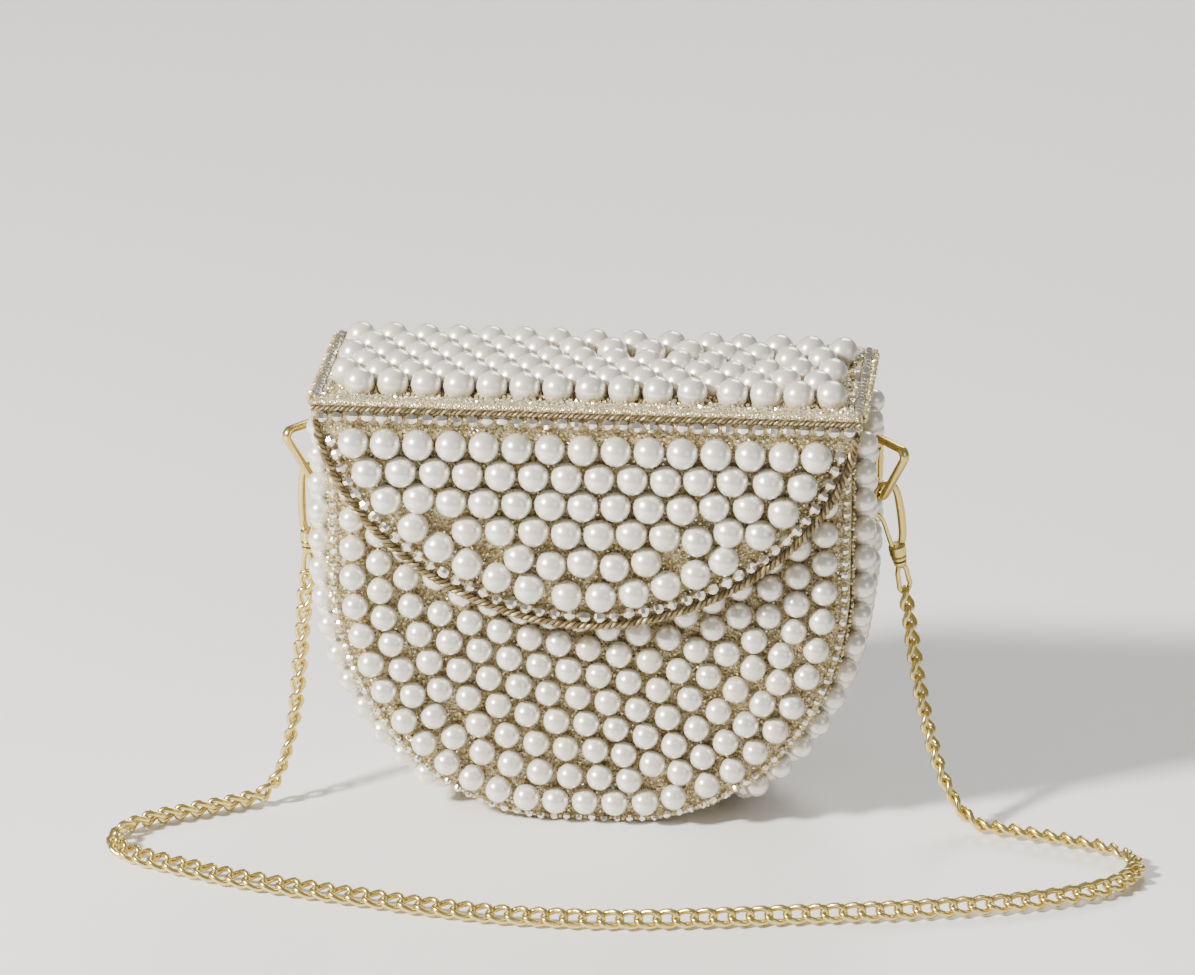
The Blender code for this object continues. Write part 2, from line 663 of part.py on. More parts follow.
def rivet_and_spring(side, clasp):
    """The rivet across the slot, and the torsion spring beside the gate's foot."""
    frame = clasp.matrix_world
    rivet_x, rivet_z = rivet_place()
    half = NECK_RADIUS - GAP
    local_rod(f"gate_rivet_{side}", frame, (rivet_x, -half, rivet_z), (rivet_x, half, rivet_z),
              RIVET_RADIUS, 16, BAG, GOLD, clasp)
    start = SLOT_WIDTH / 2 - 0.2 - SPRING_WIRE
    coil = []
    for step in range(round(SPRING_TURNS * 12) + 1):
        turn = 2 * math.pi * step / 12
        coil.append((rivet_x + SPRING_RADIUS * math.cos(turn), start - SPRING_PITCH * step / 12,
                     rivet_z + SPRING_RADIUS * math.sin(turn)))
    tube(f"gate_spring_{side}", coil, SPRING_WIRE, STEEL, clasp, sides=1, frame=frame)


def eye(side, clasp, swivel):
    """The swivelling teardrop that the chain is linked to."""
    frame = clasp.matrix_world
    bottom = NECK_TOP - NECK_LENGTH - GAP
    low = bottom - EYE_LENGTH
    round_radius = EYE_HALF_WIDTH - EYE_WIRE
    right = []
    for turn in (-90, -60, -30, 0, 25):
        angle = math.radians(turn)
        right.append((round_radius * math.cos(angle),
                      low + EYE_HALF_WIDTH + round_radius * math.sin(angle)))
    right += [(EYE_WIRE + 0.4, bottom - 2.8), (EYE_WIRE, bottom - 1.7)]
    left = [(-x, z) for x, z in reversed(right[1:])]
    route = [(CLASP_AXIS + x, 0.0, z) for x, z in right + left]
    piece = tube(f"swivel_eye_{side}", route, EYE_WIRE, GOLD, swivel, closed=True, frame=frame)
    collar = local_rod(f"eye_collar_{side}", frame, (CLASP_AXIS, 0, bottom - 2.4),
                       (CLASP_AXIS, 0, bottom), NECK_RADIUS - 0.6, collection=CUTTERS)
    stem = local_rod(f"eye_stem_{side}", frame, (CLASP_AXIS, 0, bottom - 1),
                     (CLASP_AXIS, 0, bottom + STEM_DEPTH), STEM_RADIUS, collection=CUTTERS)
    join(piece, collar, stem)


def hardware(side, sign):
    ring_tab(side, sign)
    direction = RING_DIRECTION[side]
    ring_axis = axis_empty(f"ring_axis_{side}", (sign * RING_X, 0, 0), (0, 0, direction))
    ring(side, ring_axis)
    bend_x, bend_z = ring_bend()
    place_of_bend = Vector((sign * RING_X, 0, bend_z)) + bend_x * Vector(
        (math.cos(math.radians(direction)), math.sin(math.radians(direction)), 0))
    clasp = axis_empty(f"clasp_axis_{side}", place_of_bend, (0, -LEAN[side], CLASP_DIRECTION[side]),
                       ring_axis)
    rivet_x, rivet_z = rivet_place()
    pivot_place = clasp.matrix_world @ (Vector((rivet_x, 0, rivet_z)) * MM) / MM
    pivot = axis_empty(f"gate_axis_{side}", pivot_place, (0, -LEAN[side], CLASP_DIRECTION[side]), clasp)
    swivel_place = clasp.matrix_world @ (Vector((CLASP_AXIS, 0, NECK_TOP - NECK_LENGTH)) * MM) / MM
    swivel = axis_empty(f"swivel_axis_{side}", swivel_place, (0, -LEAN[side], CLASP_DIRECTION[side]),
                        clasp)
    claw(side, clasp)
    gate(side, clasp, pivot)
    rivet_and_spring(side, clasp)
    eye(side, clasp, swivel)


# ---------------------------------------------------------------- chain

def chain():
    """The chain strap's outer shape: two hanging ends and the loop on the floor."""
    height = CHAIN / 2 + CHAIN_LIFT
    wide = 1 + (RING_X - CHAIN_FOR[0]) / CHAIN_END[0]
    tall = 1 + (RING_TOP - CHAIN_FOR[1]) / CHAIN_END[1]
    floor = [(x, y, height / tall) for x, y in CHAIN_FLOOR]
    points = [(x * wide, y, z * tall) for x, y, z in CHAIN_LEFT_DROP + floor + CHAIN_RIGHT_DROP]
    route = smooth_route(points, CHAIN * CHAIN_STEP)
    for point in route:
        point.z = max(point.z, height)
    low = [index for index, point in enumerate(route) if point.z < height + GAP]
    first, last = low[1], low[-2]
    stretches = {"chain_left_drop": (0, first), "chain_floor_run": (first, last),
                 "chain_right_drop": (last, len(route) - 1)}
    for name, (start, end) in stretches.items():
        points = [point.copy() for point in route[start:end + 1]]
        for tip, inner in ((0, 1), (-1, -2)):
            points[tip] += (points[inner] - points[tip]).normalized() * CHAIN_PART
        tube(name, points, CHAIN / 2, GOLD)


# ---------------------------------------------------------------- the bag

body_shell()
body_lining()
body_beadwork()
body_trim()
hinge_axis = axis_empty("flap_hinge_axis", (0, HINGE_Y, FOLD_Z))
fold_axis = axis_empty("flap_fold_axis", (0, FOLD_Y, FOLD_Z), parent=hinge_axis)
flap(hinge_axis, fold_axis)
magnetic_snap(fold_axis)
for side_name, side_sign in SIDES.items():
    hardware(side_name, side_sign)
chain()
bpy.context.view_layer.update()
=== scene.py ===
"""Looks of the pearl evening bag: pearls, seed beads, trims, clasps and chain around the fixed frame."""
import json
import math
import random

import bmesh
import bpy
import numpy as np
from mathutils import Matrix, Vector


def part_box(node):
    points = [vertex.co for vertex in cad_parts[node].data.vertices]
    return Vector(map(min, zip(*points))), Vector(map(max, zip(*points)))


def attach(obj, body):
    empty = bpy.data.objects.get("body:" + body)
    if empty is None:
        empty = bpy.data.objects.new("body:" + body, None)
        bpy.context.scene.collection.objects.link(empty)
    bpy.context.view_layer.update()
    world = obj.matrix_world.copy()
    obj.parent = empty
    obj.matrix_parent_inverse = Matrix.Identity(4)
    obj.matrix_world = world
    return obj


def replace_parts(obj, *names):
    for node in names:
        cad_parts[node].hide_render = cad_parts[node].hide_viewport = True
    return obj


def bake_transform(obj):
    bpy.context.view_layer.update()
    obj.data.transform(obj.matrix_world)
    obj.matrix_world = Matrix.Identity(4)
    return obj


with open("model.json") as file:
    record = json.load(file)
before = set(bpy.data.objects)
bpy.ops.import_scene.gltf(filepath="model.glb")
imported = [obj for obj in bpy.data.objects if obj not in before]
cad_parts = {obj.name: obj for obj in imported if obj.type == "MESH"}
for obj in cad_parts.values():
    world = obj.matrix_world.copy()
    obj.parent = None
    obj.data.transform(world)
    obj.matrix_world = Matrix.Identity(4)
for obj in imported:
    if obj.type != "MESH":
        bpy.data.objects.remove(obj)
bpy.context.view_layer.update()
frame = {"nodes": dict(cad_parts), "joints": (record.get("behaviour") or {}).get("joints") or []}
JOINTS = {joint["name"]: joint for joint in frame["joints"]}
MM = 0.001

# Body outline, as the boards are cut
HALF_WIDTH, _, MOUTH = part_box("front_board")[1]
ARC_HEIGHT = 86 * MM
BASE_FLAT = 11 * MM
CLOTH_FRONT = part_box("front_board")[0][1]
CLOTH_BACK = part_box("back_board")[1][1]
BEAD_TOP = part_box("front_beadwork")[1][2]

# Flap
FLAP_HALF, _, FLAP_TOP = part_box("flap_top_board")[1]
STRIP_CORNER = Vector((0, 1.3 * MM, 1.3 * MM))
FOLD = Vector((0, *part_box("flap_fold_strip")[0][1:])) + STRIP_CORNER
HINGE = Vector((0, *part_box("flap_hinge_strip")[0][1:])) + STRIP_CORNER
FLAP_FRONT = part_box("flap_front_board")[0][1]
FLAP_DROP = FOLD.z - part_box("flap_front_board")[0][2]
FLAP_ROUND = 1.85           # 2 would make the flap's edge half an ellipse

# Snap
SNAP_LOW, SNAP_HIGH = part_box("snap_female")
SNAP_LEVEL = ((Vector(SNAP_LOW) + Vector(SNAP_HIGH)) / 2).z
SNAP_CLEAR = 12.5 * MM

# Parts of the gusset without pearls: round the base, and behind each clasp
BARE_BASE = 44.5 * MM
BARE_STRIP = 11.3 * MM
BARE_FROM = 76.5 * MM

# Beads
FLAP_PEARL = 5.2 * MM       # radii
BODY_PEARL = 4.5 * MM
SIDE_PEARL = 4.35 * MM
SINK = 0.5 * MM             # pearls sit this deep in the cloth
FLAP_SINK = 0.9 * MM
TOP_SINK = 1.7 * MM
CUT_BEAD = 2.3 * MM         # faceted silver beads
CUT_STEP = 4.9 * MM
SEAM_BEAD = 1.45 * MM
SEAM_STEP = 4.2 * MM
SEED = 0.62 * MM
SEED_GAP = 1.42 * MM
SEED_LIFT = (0.35, 1.2)     # mm above the cloth
NEAR_PEARL = 0.8            # share of a pearl's radius that seed beads stay out of

SIDES = {"left": -1, "right": 1}
WELD = 0.002 * MM
DRAW = random.Random(41)


# ---- finishes

class Level:
    """A number somewhere in a finish; Python's operators add the maths nodes."""

    def __init__(self, finish, socket):
        self.finish = finish
        self.socket = socket

    def combine(self, operation, first, second):
        node = self.finish.make("ShaderNodeMath", {"operation": operation}, {0: first, 1: second})
        return Level(self.finish, node.outputs[0])

    def __add__(self, other):
        return self.combine("ADD", self, other)

    def __radd__(self, other):
        return self.combine("ADD", other, self)

    def __rsub__(self, other):
        return self.combine("SUBTRACT", other, self)

    def __mul__(self, other):
        return self.combine("MULTIPLY", self, other)


class Finish:
    """One material: a Principled shader and the nodes that feed it."""

    def __init__(self, name, **fixed):
        self.material = bpy.data.materials.new(name)
        self.material.use_nodes = True
        self.tree = self.material.node_tree
        self.tree.nodes.clear()
        self.shader = self.make("ShaderNodeBsdfPrincipled")
        output = self.make("ShaderNodeOutputMaterial")
        self.tree.links.new(self.shader.outputs[0], output.inputs["Surface"])
        for socket, value in fixed.items():
            self.feed(self.shader.inputs[socket.replace("_", " ")], value)

    def feed(self, socket, value):
        if isinstance(value, Level):
            value = value.socket
        if isinstance(value, bpy.types.NodeSocket):
            self.tree.links.new(value, socket)
        elif hasattr(value, "__len__") and len(value) == 3 and socket.type == "RGBA":
            socket.default_value = (*value, 1.0)
        else:
            socket.default_value = value

    def make(self, kind, settings=None, values=None):
        node = self.tree.nodes.new(kind)
        for name, value in (settings or {}).items():
            setattr(node, name, value)
        for socket, value in (values or {}).items():
            self.feed(node.inputs[socket], value)
        return node

    def set(self, socket, value):
        self.feed(self.shader.inputs[socket], value)

    def surface(self, colour, rough, metal=None):
        self.set("Base Color", colour)
        self.set("Roughness", rough)
        if metal is not None:
            self.set("Metallic", metal)

    def place(self):
        return self.make("ShaderNodeTexCoord").outputs["Object"]

    def tone(self):
        """The number that each bead or strand carries."""
        node = self.make("ShaderNodeAttribute", {"attribute_name": "tone"})
        return Level(self, node.outputs["Fac"])

    def noise(self, scale, detail=2.0):
        node = self.make("ShaderNodeTexNoise", None,
                         {"Vector": self.place(), "Scale": scale, "Detail": detail})
        return Level(self, node.outputs["Fac"])

    def cells(self, scale):
        """Random flat cells: (a number for each, distance from its middle)."""
        node = self.make("ShaderNodeTexVoronoi", None, {"Vector": self.place(), "Scale": scale})
        split = self.make("ShaderNodeSeparateColor", None, {"Color": node.outputs["Color"]})
        return Level(self, split.outputs[0]), Level(self, node.outputs["Distance"])

    def blend(self, factor, first, second):
        node = self.make("ShaderNodeMix", {"data_type": "RGBA"}, {"Factor": factor})
        self.feed(node.inputs[6], first)
        self.feed(node.inputs[7], second)
        return node.outputs[2]

    def ramp(self, value, stops):
        node = self.make("ShaderNodeValToRGB", None, {"Fac": value})
        elements = node.color_ramp.elements
        while len(elements) < len(stops):
            elements.new(1.0)
        for element, (place, colour) in zip(elements, stops):
            element.position = place
            element.color = (*colour, 1.0)
        return node.outputs["Color"]

    def bump(self, height, strength, depth):
        node = self.make("ShaderNodeBump", None,
                         {"Height": height, "Strength": strength, "Distance": depth})
        self.set("Normal", node.outputs["Normal"])


def pearl_finish():
    """Ivory lacquered pearl, each a little warmer, pinker or greener than the next."""
    finish = Finish("pearl", IOR=1.6, Coat_Roughness=0.05, Coat_IOR=1.6)
    tone = finish.tone()
    body = finish.ramp(tone, [(0.0, (0.80, 0.755, 0.63)), (0.35, (0.85, 0.82, 0.735)),
                              (0.7, (0.865, 0.835, 0.77)), (1.0, (0.82, 0.81, 0.71))])
    cloud = finish.noise(180, 2.0)
    finish.surface(finish.blend(cloud * 0.3, body, (0.87, 0.80, 0.71)),
                   0.23 + cloud * 0.12, 0.38 + tone * 0.16)
    finish.set("Coat Weight", 0.5 + tone * 0.3)
    finish.bump(finish.noise(1400, 1.0), 0.05, 0.0001)
    return finish.material


def seed_finish():
    """Metal-lined seed beads, from pale silver through champagne to amber."""
    finish = Finish("seed_bead", IOR=1.55)
    tone = finish.tone()
    finish.surface(finish.ramp(tone, [
        (0.0, (0.84, 0.81, 0.72)), (0.3, (0.86, 0.79, 0.58)), (0.55, (0.80, 0.68, 0.38)),
        (0.8, (0.66, 0.52, 0.26)), (1.0, (0.28, 0.18, 0.075))]),
                   0.16 + tone * 0.2, 0.85 - tone * 0.25)
    return finish.material


def cut_bead_finish():
    """Faceted silver-gold beads."""
    finish = Finish("cut_bead", IOR=1.5)
    tone = finish.tone()
    wear = finish.noise(900, 2.0)
    finish.surface(finish.blend(tone, (0.92, 0.89, 0.82), (0.64, 0.57, 0.43)),
                   0.06 + wear * 0.2, 1.0 - wear * 0.06)
    return finish.material


def glitter_finish():
    """Champagne mesh cloth with foil flecks."""
    finish = Finish("glitter_cloth", IOR=1.5)
    fleck, edge = finish.cells(1500)
    second, _ = finish.cells(2300)
    weave = finish.noise(420, 3.0)
    colour = finish.ramp(fleck, [(0.0, (0.22, 0.155, 0.065)), (0.35, (0.53, 0.43, 0.22)),
                                 (0.7, (0.75, 0.66, 0.42)), (1.0, (0.90, 0.85, 0.68))])
    finish.surface(finish.blend(weave * 0.5, colour, (0.54, 0.45, 0.25)),
                   0.22 + second * 0.35, 0.42 + fleck * 0.42)
    finish.bump(fleck * 0.7 + edge * 0.6 + weave * 0.3, 0.9, 0.0005)
    return finish.material


def cord_finish():
    """Metallised thread laid in strands, pale where it catches the light."""
    finish = Finish("antique_cord", IOR=1.5)
    tone = finish.tone()
    fibre = finish.noise(2600, 2.0)
    colour = finish.ramp(tone, [(0.0, (0.05, 0.035, 0.015)), (0.4, (0.24, 0.18, 0.085)),
                                (0.8, (0.58, 0.49, 0.31)), (1.0, (0.72, 0.65, 0.48))])
    finish.surface(finish.blend(fibre * 0.5, colour, (0.13, 0.09, 0.04)),
                   0.30 + fibre * 0.3, 0.65 + fibre * 0.2)
    finish.bump(fibre, 0.5, 0.0002)
    return finish.material


def gold_finish(name, shade, rough):
    """Plated hardware with fine handling marks."""
    finish = Finish(name, IOR=1.5)
    smear = finish.noise(160, 3.0)
    scratch = finish.noise(2200, 2.0)
    deep = tuple(value * 0.82 for value in shade)
    finish.surface(finish.blend(smear, shade, deep),
                   rough + smear * 0.10 + scratch * 0.08, 1.0 - scratch * 0.05)
    finish.bump(scratch, 0.06, 0.0001)
    return finish.material


def satin_finish():
    """Cream satin with a fine cross weave and soft creases; its colour is painted shade, darker in the
    creases' hollows and lighter on their ridges.
    """
    finish = Finish("satin_lining", Sheen_Weight=0.35, Sheen_Roughness=0.35)
    place = finish.place()
    wave_a = finish.make("ShaderNodeTexWave", {"bands_direction": "X"},
                         {"Vector": place, "Scale": 520.0, "Distortion": 0.6})
    wave_b = finish.make("ShaderNodeTexWave", {"bands_direction": "Z"},
                         {"Vector": place, "Scale": 520.0, "Distortion": 0.6})
    weave = Level(finish, wave_a.outputs["Fac"]) * Level(finish, wave_b.outputs["Fac"])
    crease_and_shade = finish.noise(34, 3.0)
    # painted shade: the colour follows the crease heights, darker in the hollows and lighter on the ridges
    finish.surface(finish.blend(crease_and_shade, (0.68, 0.58, 0.43), (0.80, 0.71, 0.56)), 0.36 + crease_and_shade * 0.2)
    finish.bump(weave * 0.12 + crease_and_shade * 1.0, 0.35, 0.0012)
    return finish.material


def thread_finish():
    """Silk thread, a little darker than the satin."""
    finish = Finish("lining_thread", Sheen_Weight=0.2)
    twist = finish.noise(3000, 1.0)
    finish.surface(finish.blend(twist, (0.48, 0.37, 0.22), (0.66, 0.54, 0.36)), 0.42 + twist * 0.2)
    finish.bump(twist, 0.4, 0.0001)
    return finish.material


def steel_finish():
    """Plated snap steel, turned."""
    finish = Finish("snap_steel", IOR=1.5)
    mark = finish.noise(700, 3.0)
    finish.surface(finish.blend(mark, (0.68, 0.66, 0.60), (0.55, 0.53, 0.48)),
                   0.22 + mark * 0.2, 1.0 - mark * 0.04)
    finish.bump(mark, 0.08, 0.0001)
    return finish.material


def floor_finish():
    finish = Finish("floor")
    vein = finish.noise(1.3, 4.0)
    finish.surface(finish.blend(vein, (0.84, 0.832, 0.82), (0.87, 0.863, 0.85)), 0.34 + vein * 0.08)
    return finish.material


PEARL = pearl_finish()
SEEDS = seed_finish()
CUT_BEADS = cut_bead_finish()
GLITTER = glitter_finish()
CORD = cord_finish()
GOLD = gold_finish("gold_plate", (0.76, 0.60, 0.21), 0.14)
CHAIN_GOLD = gold_finish("chain_plate", (0.82, 0.66, 0.24), 0.13)
SATIN = satin_finish()
SILK = thread_finish()
STEEL = steel_finish()


# ---- making pieces

def finished(name, shape, material, smooth=True):
    """A bmesh as a piece with its place in its mesh."""
    mesh = bpy.data.meshes.new(name)
    shape.to_mesh(mesh)
    shape.free()
    piece = bpy.data.objects.new(name, mesh)
    bpy.context.scene.collection.objects.link(piece)
    mesh.materials.append(material)
    if smooth:
        mesh.shade_smooth()
        mesh.set_sharp_from_angle(angle=math.radians(42))
    return piece


def joined(name, placed, material):
    """Copies of meshes, each given with its place, as one piece."""
    base = bpy.data.objects.new(name, bpy.data.meshes.new(name))
    bpy.context.scene.collection.objects.link(base)
    copies = []
    for mesh, place in placed:
        copy = bpy.data.objects.new("copy", mesh)
        copy.matrix_world = place
        bpy.context.scene.collection.objects.link(copy)
        copies.append(copy)
    bpy.context.view_layer.update()
    with bpy.context.temp_override(active_object=base, object=base, selected_objects=[base] + copies,
                                   selected_editable_objects=[base] + copies):
        bpy.ops.object.join()
    base.data.materials.clear()
    base.data.materials.append(material)
    return base


def swept(points, widths, resolution, closed=False):
    """The mesh of a round wire; widths gives its radius at each point."""
    curve = bpy.data.curves.new("wire", "CURVE")
    curve.dimensions = "3D"
    curve.twist_mode = "MINIMUM"
    spline = curve.splines.new("POLY")
    spline.points.add(len(points) - 1)
    for slot, point, width in zip(spline.points, points, widths):
        slot.co = (*point, 1.0)
        slot.radius = width
    spline.use_cyclic_u = closed
    curve.bevel_depth = 1.0
    curve.bevel_resolution = resolution
    curve.use_fill_caps = not closed
    maker = bpy.data.objects.new("wire", curve)
    bpy.context.scene.collection.objects.link(maker)
    bpy.context.view_layer.update()
    mesh = bpy.data.meshes.new_from_object(maker.evaluated_get(bpy.context.evaluated_depsgraph_get()))
    bpy.data.objects.remove(maker, do_unlink=True)
    return mesh


def set_tone(mesh, value):
    attribute = mesh.attributes.new("tone", "FLOAT", "POINT")
    attribute.data.foreach_set("value", [value] * len(mesh.vertices))


def bead_pattern(kind, tone):
    """The mesh of one bead of radius 1, its hole or its cut face along Z."""
    shape = bmesh.new()
    if kind == "pearl":
        bmesh.ops.create_uvsphere(shape, u_segments=16, v_segments=8, radius=1.0)
        everything = shape.verts[:] + shape.edges[:] + shape.faces[:]
        bmesh.ops.bisect_plane(shape, geom=everything, plane_co=(0, 0, -0.8), plane_no=(0, 0, -1),
                               clear_outer=True)
        bmesh.ops.holes_fill(shape, edges=[edge for edge in shape.edges if edge.is_boundary])
    elif kind == "cut":
        bmesh.ops.create_uvsphere(shape, u_segments=8, v_segments=5, radius=1.0)
    else:
        bmesh.ops.create_icosphere(shape, subdivisions=1, radius=1.0)
    mesh = bpy.data.meshes.new(f"{kind}_pattern")
    shape.to_mesh(mesh)
    shape.free()
    if kind == "pearl":
        mesh.shade_smooth()
    set_tone(mesh, tone)
    return mesh


TONES = [step / 7 for step in range(8)]
PATTERNS = {kind: [bead_pattern(kind, tone) for tone in TONES] for kind in ("pearl", "cut", "seed")}


def sew(name, kind, places, material, body, low=0.0, high=1.0):
    """Joins one bead at each place (a matrix) into a piece; low to high bounds the beads' tones."""
    placed = []
    for place in places:
        tone = low + (high - low) * DRAW.random()
        placed.append((PATTERNS[kind][round(tone * (len(TONES) - 1))], place))
    piece = joined(name, placed, material)
    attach(piece, body)
    return piece


def sew_pearl_layer(name, places, body, node):
    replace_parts(sew(name, "pearl", places, PEARL, body), node)


def sew_seed_layer(name, places, body, low, high):
    sew(name, "seed", places, SEEDS, body, low, high)


def seat(point, normal, radius, squash=1.0):
    """Where a bead sits: its centre, its cut face to the cloth, and a random turn about normal."""
    turn = Vector(normal).to_track_quat("Z", "Y").to_matrix().to_4x4()
    spin = Matrix.Rotation(DRAW.uniform(0, 2 * math.pi), 4, "Z")
    return Matrix.Translation(point) @ turn @ spin @ Matrix.Diagonal((radius, radius, radius * squash, 1))


def tumbled(point, radius):
    """A bead turned any way."""
    turn = Matrix.Rotation(DRAW.uniform(0, 6.28), 4, "X") @ Matrix.Rotation(DRAW.uniform(0, 6.28), 4, "Y")
    return Matrix.Translation(point) @ turn @ Matrix.Scale(radius, 4)


# ---- outlines and paths

def half_outline(inset, steps=48):
    """Right half of the body's outline from the middle of the base, moved inwards by inset."""
    across = HALF_WIDTH - BASE_FLAT
    points = [Vector((0.0, inset))]
    for step in range(steps + 1):
        turn = math.radians(-90 + 90 * step / steps)
        normal = Vector((math.cos(turn) / across, math.sin(turn) / ARC_HEIGHT)).normalized()
        points.append(Vector((BASE_FLAT + across * math.cos(turn),
                              ARC_HEIGHT + ARC_HEIGHT * math.sin(turn))) - normal * inset)
    return points


def body_line(inset, top):
    """The body's outline in (x, z), left of the mouth round to the right."""
    right = half_outline(inset) + [Vector((HALF_WIDTH - inset, top))]
    return [Vector((-point.x, point.y)) for point in reversed(right)] + right[1:]


def flap_line(inset, start=0.0, steps=80):
    """The flap's lower edge in (x, z), left to right, from a drop of start below the fold."""
    across, down, power = FLAP_HALF - inset, FLAP_DROP - inset, 2 / FLAP_ROUND
    points = []
    for step in range(steps + 1):
        turn = math.pi * step / steps
        drop = down * abs(math.sin(turn)) ** power
        if drop >= start:
            x = -across * math.copysign(abs(math.cos(turn)) ** power, math.cos(turn))
            points.append(Vector((x, FOLD.z - drop)))
    return points


def along(points, step, start=0.0):
    """Points and directions at even steps along a path."""
    runs = [0.0]
    for here, there in zip(points, points[1:]):
        runs.append(runs[-1] + (there - here).length)
    found = []
    index = 0
    count = int((runs[-1] - start) / step + 0.001)
    for turn in range(count + 1):
        target = start + turn * step
        while index < len(runs) - 2 and runs[index + 1] < target:
            index += 1
        share = (target - runs[index]) / max(runs[index + 1] - runs[index], 1e-9)
        here, there = points[index], points[index + 1]
        found.append((here.lerp(there, min(1.0, share)), (there - here).normalized()))
    return found


def evenly(points, step):
    """Like along, with the step eased so that the last point is the path's end."""
    total = sum((there - here).length for here, there in zip(points, points[1:]))
    return along(points, total / max(1, round(total / step)))


def body_room(x, z):
    """Distance inside the body's outline."""
    x = abs(x)
    if z >= ARC_HEIGHT:
        return HALF_WIDTH - x
    if x <= BASE_FLAT:
        return z
    across = HALF_WIDTH - BASE_FLAT
    share = math.hypot((x - BASE_FLAT) / across, (ARC_HEIGHT - z) / ARC_HEIGHT)
    slope = math.hypot((x - BASE_FLAT) / across ** 2, (ARC_HEIGHT - z) / ARC_HEIGHT ** 2) / max(share, 1e-6)
    return (1 - share) / max(slope, 1e-6)


def flap_room(x, z):
    """Distance inside the front panel's edge."""
    side, drop = abs(x) / FLAP_HALF, max(FOLD.z - z, 1e-6) / FLAP_DROP
    share = (side ** FLAP_ROUND + drop ** FLAP_ROUND) ** (1 / FLAP_ROUND)
    power = FLAP_ROUND - 1
    slope = math.hypot((side / share) ** power / FLAP_HALF, (drop / share) ** power / FLAP_DROP)
    return (1 - share) / slope


def distances(place):
    apart = place[:, None, :] - place[None, :, :]
    return apart, np.hypot(apart[..., 0], apart[..., 1]) + np.eye(len(place))


def ease(place, gap, hold, rounds):
    """Pushes points evenly apart, and back inside with hold."""
    for _ in range(rounds):
        apart, far = distances(place)
        push = np.where(far < gap * 1.05, (gap * 1.05 - far) / far * 0.35, 0.0)
        np.fill_diagonal(push, 0.0)
        place = place + (apart * push[..., None]).sum(axis=1)
        place = np.array([hold(*spot) for spot in place])
    return place


def spread(points, gap, hold):
    """Gives each point a bead's room, dropping those with none and filling what is left."""
    place = ease(np.array([hold(*point) for point in points]), gap, hold, 50)
    for _ in range(90):
        _, far = distances(place)
        if far.min() > gap * 0.95:
            break
        crowd = np.maximum(gap - far, 0.0).sum(axis=1)
        place = ease(np.delete(place, crowd.argmax(), axis=0), gap, hold, 10)
    low, high = place.min(axis=0), place.max(axis=0)
    steps = [np.arange(low[axis], high[axis], 1.5 * MM) for axis in (0, 1)]
    grid = [(x, z) for x in steps[0] for z in steps[1] if math.dist(hold(x, z), (x, z)) < 0.2 * MM]
    grid = np.array(grid)
    tried = []
    for _ in range(14):
        apart = grid[:, None, :] - place[None, :, :]
        room = np.hypot(apart[..., 0], apart[..., 1]).min(axis=1)
        for spot in tried:
            room[np.hypot(*(grid - spot).T) < gap * 0.7] = 0.0
        if room.max() < gap * 0.72:
            break
        spot = grid[room.argmax()]
        tried.append(spot)
        more = ease(np.vstack([place, spot]), gap, hold, 60)
        if distances(more)[1].min() > gap * 0.925:
            place = more
    return [Vector(spot) for spot in place]


def hold_in(room, inset, top):
    """Makes a rule that moves a point to at least inset inside an edge and below top."""
    reach = 0.1 * MM

    def hold(x, z):
        z = min(z, top)
        for _ in range(2):
            short = inset - room(x, z)
            if short > 0:
                slope = Vector((room(x + reach, z) - room(x - reach, z),
                                room(x, z + reach) - room(x, z - reach)))
                x, z = Vector((x, z)) + slope.normalized() * short
        return x, min(z, top)

    return hold


# ---- pearls

def jitter(amount):
    return DRAW.uniform(-amount, amount) * MM


def rows_on_flap():
    """A row along the curved edge, and straighter rows above it."""
    inset = 7.2 * MM + FLAP_PEARL
    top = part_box("flap_front_beadwork")[1][2] - FLAP_PEARL
    hold = hold_in(flap_room, inset, top)
    gap = 10.65 * MM
    points = [tuple(point) for point, _ in evenly(flap_line(inset, FOLD.z - top), gap * 1.03)]
    inner = hold_in(flap_room, inset + gap * 0.45, top)
    for row in range(6):
        for column in range(-8, 9):
            spot = Vector(((column + 0.5 * (row % 2)) * gap * 1.03, top - row * gap * 0.9))
            bow = 2.0 * MM * (spot.x / FLAP_HALF) ** 2
            if (Vector(inner(*spot)) - spot).length < 0.8 * MM:
                points.append((spot.x + jitter(1.7), spot.y + bow + jitter(1.7)))
    return spread(points, gap, hold)


def rows_on_panel(window):
    """Rows that follow the body's outline, over a front or back panel."""
    inset = 3.6 * MM + BODY_PEARL
    top = BEAD_TOP - BODY_PEARL
    inside = hold_in(body_room, inset, top)
    gap = 9.9 * MM

    def hold(x, z):
        x, z = inside(x, z)
        if window:
            away = Vector((x, z - window[1]))
            clear = window[0] + BODY_PEARL
            if away.length < clear:
                away = (away if away.length else Vector((0, 1))).normalized() * clear
                x, z = away.x, away.y + window[1]
        return x, z

    points = []
    depth = inset
    while depth < HALF_WIDTH - 4 * MM:
        for point, _ in evenly(body_line(depth, top), gap * 1.03):
            spot = Vector((point.x + jitter(1.2), point.y + jitter(1.2)))
            if (Vector(hold(*spot)) - spot).length < 2 * MM:
                points.append(tuple(spot))
        depth += gap * 0.89
    return spread(points, gap, hold)


def rows_on_top():
    """Five uneven rows over the top panel, in (x, y)."""
    low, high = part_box("flap_top_beadwork")
    front, back = low[1] + FLAP_PEARL - 0.4 * MM, high[1] - FLAP_PEARL - 1.0 * MM
    half = high[0] - FLAP_PEARL + 0.3 * MM
    gap = 10.3 * MM

    def hold(x, y):
        return max(-half, min(half, x)), max(front, min(back, y))

    points = []
    rows = 5
    for row in range(rows):
        y = front + (back - front) * row / (rows - 1)
        for column in range(-8, 9):
            x = (column + 0.5 * (row % 2)) * gap * 1.07
            if abs(x) < half + 2 * MM:
                points.append((x + jitter(1.6), y + jitter(1.6)))
    return spread(points, gap, hold)


